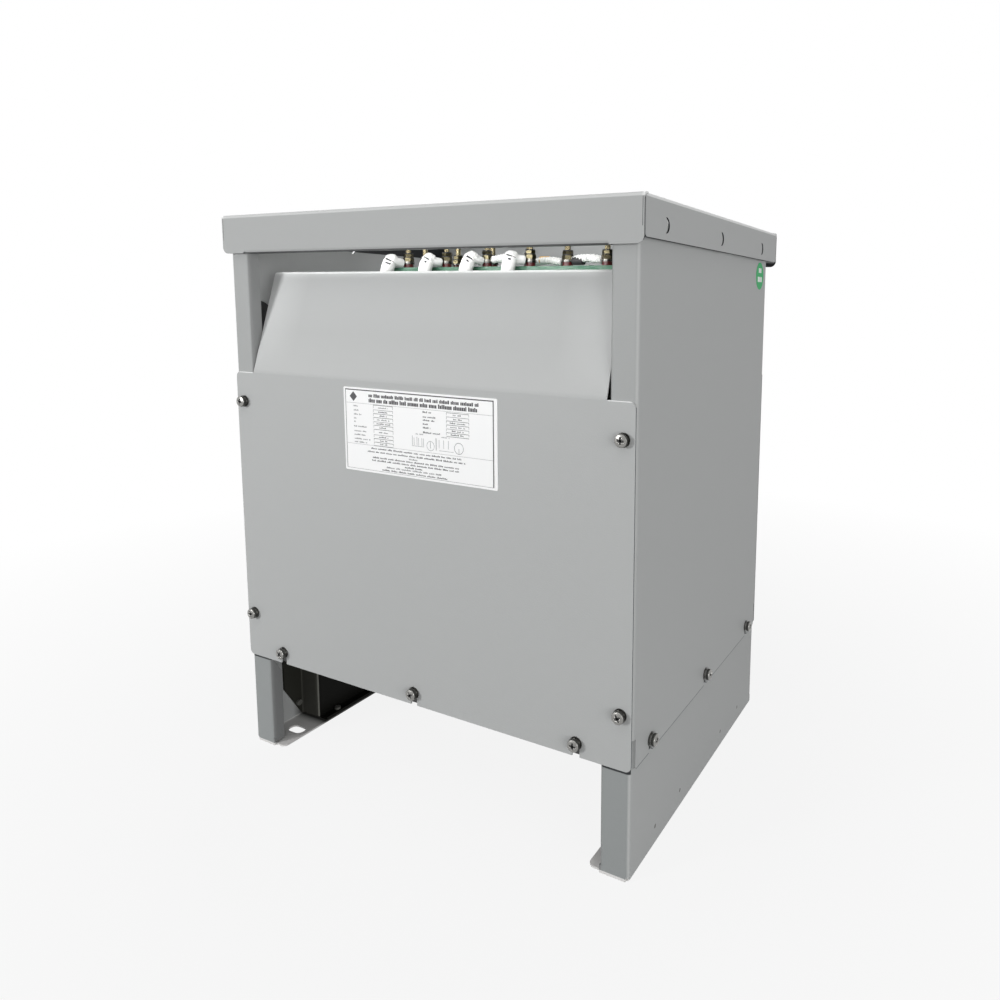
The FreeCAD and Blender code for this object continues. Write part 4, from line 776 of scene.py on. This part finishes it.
def platePrint():
    # The print is made of plain blocks: frame, rules, rows of small blocks of uneven width and
    # height, boxes for the values, and a small plan of upright strokes and two rings.
    low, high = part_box("nameplate")
    v = plateValues
    face = low.y - v["proud"]
    width, height = high.x - low.x, high.z - low.z
    random = np.random.default_rng(v["seed"])
    dark, pale = [], []

    def place(u, t):
        return low.x + u * width, high.z - t * height

    def block(u0, u1, t0, t1, target):
        (x0, z1), (x1, z0) = place(u0, t0), place(u1, t1)
        target.append(([(x0, face, z0), (x1, face, z0), (x1, face, z1), (x0, face, z1)], [(0, 1, 2, 3)]))

    def row(u0, u1, t, size, target, lowest=v["lowest"], gap=v["gap"]):
        # Blocks of uneven width, in groups with a wider gap between them.
        u, left = u0, int(random.integers(*v["firstGroup"]))
        while u < u1:
            wide = random.uniform(*v["block"]) * (size / v["meant"]) ** 0.5
            tall = size * max(random.choice(v["talls"]), lowest)
            block(u, min(u + wide, u1), t + size / 2 - tall, t + size / 2, target)
            left -= 1
            u += wide + (gap if left > 0 else v["groupGap"])
            if left <= 0:
                left = int(random.integers(*v["nextGroups"]))

    for item in v["heavy"] + [v["heavyStroke"]]:
        block(*item, dark)
    for item in v["light"] + v["strokes"]:
        block(*item, pale)
    u, t, half = v["mark"]
    x, z = place(u, t)
    corners = ((-half, 0.0), (0.0, -half), (half, 0.0), (0.0, half))
    dark.append(([(x + a, face, z + b) for a, b in corners], [(0, 1, 2, 3)]))
    for u, t, radius, line in v["rings"]:
        x, z = place(u, t)
        profile = [(radius, 0.0), (radius - line, 0.0)]
        pale.append(lathe(profile, v["ringSteps"], (x, face, z), (0, -1, 0), (1, 0, 0)))
    for u0, u1, t0, t1 in v["titles"]:
        row(u0, u1, (t0 + t1) / 2, t1 - t0, dark, v["titleLowest"], v["titleGap"])
    for t, length in v["leftRows"]:
        row(v["leftStart"], v["leftStart"] + length, t, v["heights"]["left"], pale)
    for t, length in v["middleRows"]:
        row(v["middleStart"], v["middleStart"] + length, t, v["heights"]["middle"], dark)
    for u0, u1, levels in v["boxes"]:
        for k, t in enumerate(levels):
            block(u0, u1, t, t + v["rule"], pale if k % v["paleEvery"] == 1 else dark)
            if k < len(levels) - 1:
                step = levels[k + 1] - t
                block(u0, u0 + v["upright"], t, t + step * v["uprightShare"], pale)
                block(u1 - v["upright"], u1, t, t + step * v["uprightShare"], pale)
                inset = random.uniform(*v["boxInset"])
                tone = dark if k % v["paleEvery"] else pale
                row(u0 + inset, u1 - inset, t + step * v["boxMiddle"], v["heights"]["box"], tone)
    for u0, u1, t in v["planRows"]:
        row(u0, u1, t, v["heights"]["plan"], pale)
    for k, (u0, u1, t) in enumerate(v["notes"]):
        row(u0, u1, t, v["heights"]["note"], pale if k in v["paleNotes"] else dark)
    meshObject("platePrintDark", *gather(dark), finish["ink"], "plate_film", smooth=False)
    meshObject("platePrintPale", *gather(pale), finish["paleInk"], "plate_film", smooth=False)


platePrint()


stickerValues = {
    "proud": 0.00006,
    # blocks as left, right, bottom, top shares of the half width and half height
    "blocks": [(-0.36, -0.05, 0.24, 0.58), (0.05, 0.36, 0.24, 0.58), (-0.56, -0.22, -0.44, -0.06),
               (-0.14, 0.16, -0.44, -0.06), (0.24, 0.55, -0.44, -0.06)],
}


def stickerPrint():
    # Five plain bars, each a flat block just in front of the sticker's face.
    low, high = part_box("inspection_sticker")
    face = high.x + stickerValues["proud"]
    middle, half = (low + high) / 2, (high - low) / 2
    parts = []
    for y0, y1, z0, z1 in stickerValues["blocks"]:
        corners = ((y0, z0), (y1, z0), (y1, z1), (y0, z1))
        parts.append(([(face, middle.y + y * half.y, middle.z + z * half.z) for y, z in corners], [(0, 1, 2, 3)]))
    meshObject("stickerMarks", *gather(parts), finish["stickerWhite"], "sticker_film", smooth=False)


stickerPrint()
print("prints made")


def smoothPath(points, count):
    # Catmull-Rom curve: each stretch is the cubic that leaves and meets its two points along the
    # line between their neighbours.
    ends = np.vstack([2 * points[0] - points[1], points, 2 * points[-1] - points[-2]])
    a, b, c, d = (ends[k:len(ends) - 3 + k, None] for k in range(4))
    t = np.arange(count)[:, None] / count
    curve = 0.5 * (2 * b + (c - a) * t + (2 * a - 5 * b + 4 * c - d) * t ** 2 + (3 * b - a - 3 * c + d) * t ** 3)
    return np.vstack([curve.reshape(-1, 3), points[-1:]])


def roundSection(place, angle):
    # One at every place and angle.
    return np.ones((len(place), len(angle)))


def sweep(path, radii, steps, shape=roundSection):
    # Tube along a path: path + radius * (cos * side + sin * third), where side and third turn with the
    # path, and the radius at each place and angle is the listed one times shape(place, angle).
    way = np.gradient(path, axis=0)
    way /= np.linalg.norm(way, axis=1)[:, None]
    side = np.cross(way[0], (1.0, 0.0, 0.0) if abs(way[0][0]) < 0.9 else (0.0, 0.0, 1.0))
    sides = []
    for direction in way:
        side = side - direction * side.dot(direction)
        side = side / np.linalg.norm(side)
        sides.append(side)
    sides = np.array(sides)
    thirds = np.cross(way, sides)
    angle = anglesOf(steps)
    radius = radii[:, None] * shape(np.arange(len(path))[:, None], angle)
    circle = np.cos(angle)[:, None] * sides[:, None] + np.sin(angle)[:, None] * thirds[:, None]
    points = (path[:, None] + radius[..., None] * circle).reshape(-1, 3)
    return points, gridFaces(len(path), steps) + endCaps(len(path), steps)


leadValues = {
    "radius": 0.0066, "endRadius": 0.0045, "aside": -0.012, "steps": 40, "perRun": 14,
    # for each lead: where it starts along X, and its lean, rise and drop at the kink
    "leads": [(-0.0425, 0.0046, 0.0, 0.0), (-0.018, 0.0040, 0.0004, 0.0006), (0.034, 0.0058, 0.0012, 0.0),
              (0.0875, 0.0022, 0.0016, 0.001)],
    # points of the path: share of the way to the stud, share of the lean, step to the right, Y, Z,
    # share of the rise and of the drop
    "run": [(0.0, 0.0, 0.0, -0.0825, 0.392, 0, 0), (0.0, 0.0, 0.0, -0.0835, 0.418, 0, 0),
            (0.5, 0.0, 0.0, -0.1125, 0.446, 0, 0), (1.0, 0.0, 0.0, -0.1302, 0.490, 0, 0),
            (1.0, 0.0, 0.0, -0.1312, 0.520, 0, 0), (1.0, 0.0, 0.0, -0.1312, 0.541, 0, 0),
            (1.0, 0.35, 0.0, -0.1308, 0.5527, 1, 0), (1.0, 1.0, 0.0, -0.1278, 0.5632, 1, 0),
            (1.0, 1.0, 0.0026, -0.1236, 0.5616, 1, 1), (1.0, 0.0, 0.0088, -0.1166, 0.5598, 1, 0)],
    "kinkPoint": 7, "thinStart": -0.4, "thinLength": 1.5,
    # creases: height, waves round the tube and waves along it; folds and pinch: height and reach
    "waves": [(0.022, 3, 0.21), (0.018, 5, -0.33)], "folds": (0.05, 0.8, 1.15), "pinch": (0.30, 0.10, 0.32),
    # the two bars: rows of faces, the way they look, and how far they reach to both sides
    "barRows": (90, 91, 94, 95), "barWay": (0.55, -0.83, 0.1), "barLeast": 0.6, "barSide": (0.83, 0.55, 0.0),
    "barReach": (-0.36, 0.24),
    # random shifts of the waves: their range in radians and their number, and the seed
    "shifts": (6.28, 6), "seed": 5,
}


def leadSleeves():
    # Each sleeve rises in front of the board, folds over at a kink and runs down to its stud. From
    # just before the kink its radius falls to the thin end's by 3 t squared less 2 t cubed.
    v = leadValues
    studs = sorted(((low + high) / 2 for low, high in islands(nodes["terminal_studs"])), key=lambda c: (c.y, c.x))
    random = np.random.default_rng(v["seed"])
    toStud, leanShare, aside, y, z, riseShare, dropShare = np.array(v["run"]).T
    parts = []
    for stud, (start, lean, rise, drop) in zip(studs, v["leads"]):
        x = start + (stud.x + v["aside"] - start) * toStud + lean * leanShare + aside
        path = smoothPath(np.stack([x, y, z + rise * riseShare - drop * dropShare], axis=1), v["perRun"])
        fromKink = (np.arange(len(path)) - v["kinkPoint"] * v["perRun"]) / v["perRun"]
        blend = np.clip((fromKink - v["thinStart"]) / v["thinLength"], 0.0, 1.0)
        radii = v["radius"] + (v["endRadius"] - v["radius"]) * blend * blend * (3 - 2 * blend)
        phase = random.uniform(0, *v["shifts"])

        def creased(place, angle):
            # Creases: low waves round and along the tube, and a pinch that flattens it at the kink.
            high, reach, turns = v["folds"]
            flat, wide, pinchReach = v["pinch"]
            away = fromKink[:, None]
            near = np.exp(-(away / pinchReach) ** 2)
            wave = sum(size * np.sin(count * angle + shift + place * along)
                       for (size, count, along), shift in zip(v["waves"], phase))
            folds = high * np.exp(-(away / reach) ** 2) * np.sin(place * turns + phase[2] + 2 * np.cos(angle))
            pinch = 1.0 - flat * near * np.cos(angle) ** 2 + wide * near * np.abs(np.sin(angle))
            return pinch * (1.0 + wave + folds)

        parts.append(sweep(path, radii, v["steps"], creased))
    points, faces = gather(parts)
    thing = meshObject("leadSleeves", points, faces, finish["sleeveWhite"], "sleeve_white")
    # Two short dark bars on the side that faces front and right, just below each kink.
    normals = np.empty(len(faces) * 3, dtype=np.float32)
    thing.data.polygons.foreach_get("normal", normals)
    normals = normals.reshape(len(parts), -1, 3)
    across = normals @ v["barSide"]
    marked = (normals @ v["barWay"] > v["barLeast"]) & (across > v["barReach"][0]) & (across < v["barReach"][1])
    marked &= np.isin(np.arange(len(faces) // len(parts)) // v["steps"], v["barRows"])
    markFaces(thing, marked, finish["ink"])
    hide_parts("lead_sleeves")


jumperValues = {
    "steps": 28, "count": 100, "radius": 0.0033, "rib": 0.0007, "ribPower": 1.5, "pitch": 0.0031, "arch": 0.0018,
    # how far each sleeve goes past its box on the left and on the right
    "past": [(0.0036, 0.0), (0.0036, 0.0036), (0.0036, 0.0036)],
    "sway": (0.0006, 7.0), "oval": (0.04, 2, 0.13),
    # rings: number of the sleeve, start, lift and radius, then length of a step and number of rows
    "shrink": (2, -0.0035, -0.0006, 0.0041), "tape": (1, 0.0036, 0.0012, 0.0047), "ringStep": 0.0011, "ringRows": 11,
    "ringBack": 0.0004, "tapeLimit": 0.3, "tapeInside": 0.6,
}


def jumperSleeves():
    # Ribbed sleeves: radius + rib * |sin(pi * length / pitch)| to a power, on a path that rises in
    # the middle by the sine of its share and sways a little to both sides.
    v = jumperValues
    parts = []
    boxes = sorted(islands(nodes["jumper_sleeves"]), key=lambda pair: pair[0].x)
    for number, ((low, high), (before, after)) in enumerate(zip(boxes, v["past"])):
        centre = (low + high) / 2
        x = np.linspace(low.x - before, high.x + after, v["count"])
        length = x[-1] - x[0]
        share = (x - x[0]) / length
        path = np.stack([x, centre.y + v["sway"][0] * np.sin(share * v["sway"][1] + number),
                         centre.z + v["arch"] * np.sin(share * math.pi)], axis=1)
        ribs = np.abs(np.sin(share * length / v["pitch"] * math.pi + number)) ** v["ribPower"]

        def oval(place, angle):
            size, count, along = v["oval"]
            return 1.0 + size * np.sin(count * angle + place * along + number)

        parts.append(sweep(path, v["radius"] + v["rib"] * ribs, v["steps"], oval))
    thing = meshObject("jumperSleevesRibbed", *gather(parts), finish["sleeveWhite"], "sleeve_white")
    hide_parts("jumper_sleeves")

    def upper(place, angle):
        # The tape shows on top and behind; elsewhere it lies inside the sleeve.
        shows = (np.cos(angle) < v["tapeLimit"]) & (np.sin(angle) < v["tapeLimit"])
        return np.where(shows, 1.0, v["tapeInside"]) * np.ones((len(place), 1))

    for name, (number, start, lift, radius), shape, material, slot in (
            ("jumperShrink", v["shrink"], roundSection, finish["blackRubber"], "black_rubber"),
            ("jumperTape", v["tape"], upper, finish["yellowBand"], "sleeve_white")):
        low, high = boxes[number]
        centre = (low + high) / 2
        x = low.x + start + v["ringStep"] * np.arange(v["ringRows"])
        path = np.stack([x, np.full_like(x, centre.y - v["ringBack"]), np.full_like(x, centre.z + lift)], axis=1)
        meshObject(name, *sweep(path, np.full(len(x), radius), v["steps"], shape), material, slot)


leadSleeves()
jumperSleeves()
print("sleeves made")


stageValues = {"floor": 0.45, "floorRough": 0.9, "floorLevel": -0.0002, "half": 7.0, "whiteShare": 0.88,
               "fade": (0.35, 1.3), "world": 0.25}
white = (1.0, 1.0, 1.0)


def showWhite(tree):
    # One where a camera, mirror or transmission ray looks, and nought for the rays that light things.
    path = tree.nodes.new("ShaderNodeLightPath").outputs
    return mathNode(tree, "MAXIMUM", path["Is Camera Ray"], path["Is Glossy Ray"], path["Is Transmission Ray"])


def stageFloor():
    # Pale floor: near the object it keeps a soft shadow, and farther out it fades to plain white.
    v = stageValues
    material, tree, shader = newMaterial("paleFloor")
    feedAll(tree, shader, {"Base Color": (v["floor"],) * 3, "Roughness": v["floorRough"], "Specular IOR Level": 0.0})
    glow = addNode(tree, "ShaderNodeEmission", {"Color": white, "Strength": 1.0})
    distance = addNode(tree, "ShaderNodeVectorMath", {0: objectPoint(tree)}, operation="LENGTH").outputs["Value"]
    share = mathNode(tree, "ADD", mathNode(tree, "MULTIPLY", ramp(tree, distance, *v["fade"]), 1.0 - v["whiteShare"]),
                     v["whiteShare"])
    factor = mathNode(tree, "MULTIPLY", showWhite(tree), share)
    mix = addNode(tree, "ShaderNodeMixShader", {0: factor, 1: shader.outputs[0], 2: glow.outputs[0]})
    feed(tree, mix.outputs[0], tree.nodes["Material Output"].inputs["Surface"])
    half, level = v["half"], v["floorLevel"]
    data = bpy.data.meshes.new("floor")
    data.from_pydata([(-half, -half, level), (half, -half, level), (half, half, level), (-half, half, level)],
                     [], [(0, 1, 2, 3)])
    data.materials.append(material)
    floor = addObject("floor", data)


def world():
    # White to the camera and in reflections; a plain grey dome for the light it gives.
    scene = bpy.context.scene
    scene.world = bpy.data.worlds.new("studio")
    scene.world.use_nodes = True
    tree = scene.world.node_tree
    background = tree.nodes["Background"].inputs
    low = stageValues["world"]
    feed(tree, white, background["Color"])
    strength = mathNode(tree, "ADD", mathNode(tree, "MULTIPLY", showWhite(tree), 1.0 - low), low)
    feed(tree, strength, background["Strength"])


lampValues = {
    # direction from the target, distance, target, size, level, and the cone in degrees
    "leftPanel": ((-0.53, -0.85, 0.14), 2.6, (0.0, 0.0, 0.45), (0.5, 0.5), 0.45, 180.0),
    "rightPanel": ((0.85, -0.53, 0.03), 2.6, (0.0, 0.0, 0.48), (1.6, 1.1), 0.37, 180.0),
    "topPanel": ((0.0, -0.36, 0.93), 2.4, (0.0, 0.0, 0.4), (2.4, 2.4), 0.30, 180.0),
    "backPanel": ((-0.45, 0.85, 0.42), 2.8, (0.0, 0.0, 0.4), (2.0, 2.0), 0.24, 180.0),
    "openingFill": ((0.0, -0.97, 0.22), 0.01, (-0.01, -0.156, 0.568), (0.41, 0.008), 55.0, 84.0),
    "wallFill": ((1.0, 0.0, 0.12), 0.12, (-0.246, 0.03, 0.562), (0.26, 0.02), 0.30, 180.0),
    "upperFill": ((0.0, -0.62, 0.78), 0.05, (0.03, -0.084, 0.562), (0.36, 0.010), 3.0, 180.0),
    "rearFill": ((0.0, -1.0, 0.1), 0.16, (0.04, 0.16, 0.58), (0.34, 0.02), 0.95, 180.0),
}


def areaLight(name, way, distance, target, size, level, spread):
    # A panel that adds the given level, as a share of white, to a surface that faces it.
    way = Vector(way).normalized()
    data = bpy.data.lights.new(name, "AREA")
    data.shape = "RECTANGLE"
    data.size, data.size_y = size
    data.energy = level * (math.pi * distance) ** 2
    data.spread = math.radians(spread)
    light = addObject(name, data)
    light.location = Vector(target) + way * distance
    light.rotation_euler = (-way).to_track_quat("-Z", "Y").to_euler()
    light.visible_camera = False


cameraValues = {
    # place in metres, turns in radians, focal length and centre of view in pixels of the frame
    "place": (0.52258, -0.7335, 0.5201),
    "yaw": 0.4549281,
    "pitch": 0.1231206,
    "roll": 0.0144706,
    "focal": 751.0071,
    "centre": (638.0423, 397.4459),
    "frame": 1000.0,
    "sensor": 36.0,
}


def camera():
    v = cameraValues
    yaw, pitch, roll = v["yaw"], v["pitch"], v["roll"]
    forward = Vector((-math.sin(yaw) * math.cos(pitch), math.cos(yaw) * math.cos(pitch), -math.sin(pitch)))
    right = Vector((math.cos(yaw), math.sin(yaw), 0.0))
    up = right.cross(forward)
    acrossAxis = right * math.cos(roll) + up * math.sin(roll)
    upAxis = up * math.cos(roll) - right * math.sin(roll)
    data = bpy.data.cameras.new("camera")
    data.sensor_width = v["sensor"]
    data.lens = v["focal"] / v["frame"] * v["sensor"]
    data.shift_x = (v["frame"] / 2 - v["centre"][0]) / v["frame"]
    data.shift_y = (v["centre"][1] - v["frame"] / 2) / v["frame"]
    thing = addObject("camera", data)
    axes = Matrix((acrossAxis, upAxis, -forward)).transposed().to_4x4()
    thing.matrix_world = Matrix.Translation(v["place"]) @ axes
    bpy.context.scene.camera = thing


stageFloor()
world()
for name, values in lampValues.items():
    areaLight(name, *values)
camera()
bpy.context.scene.view_settings.view_transform = "Standard"
print("stage made")
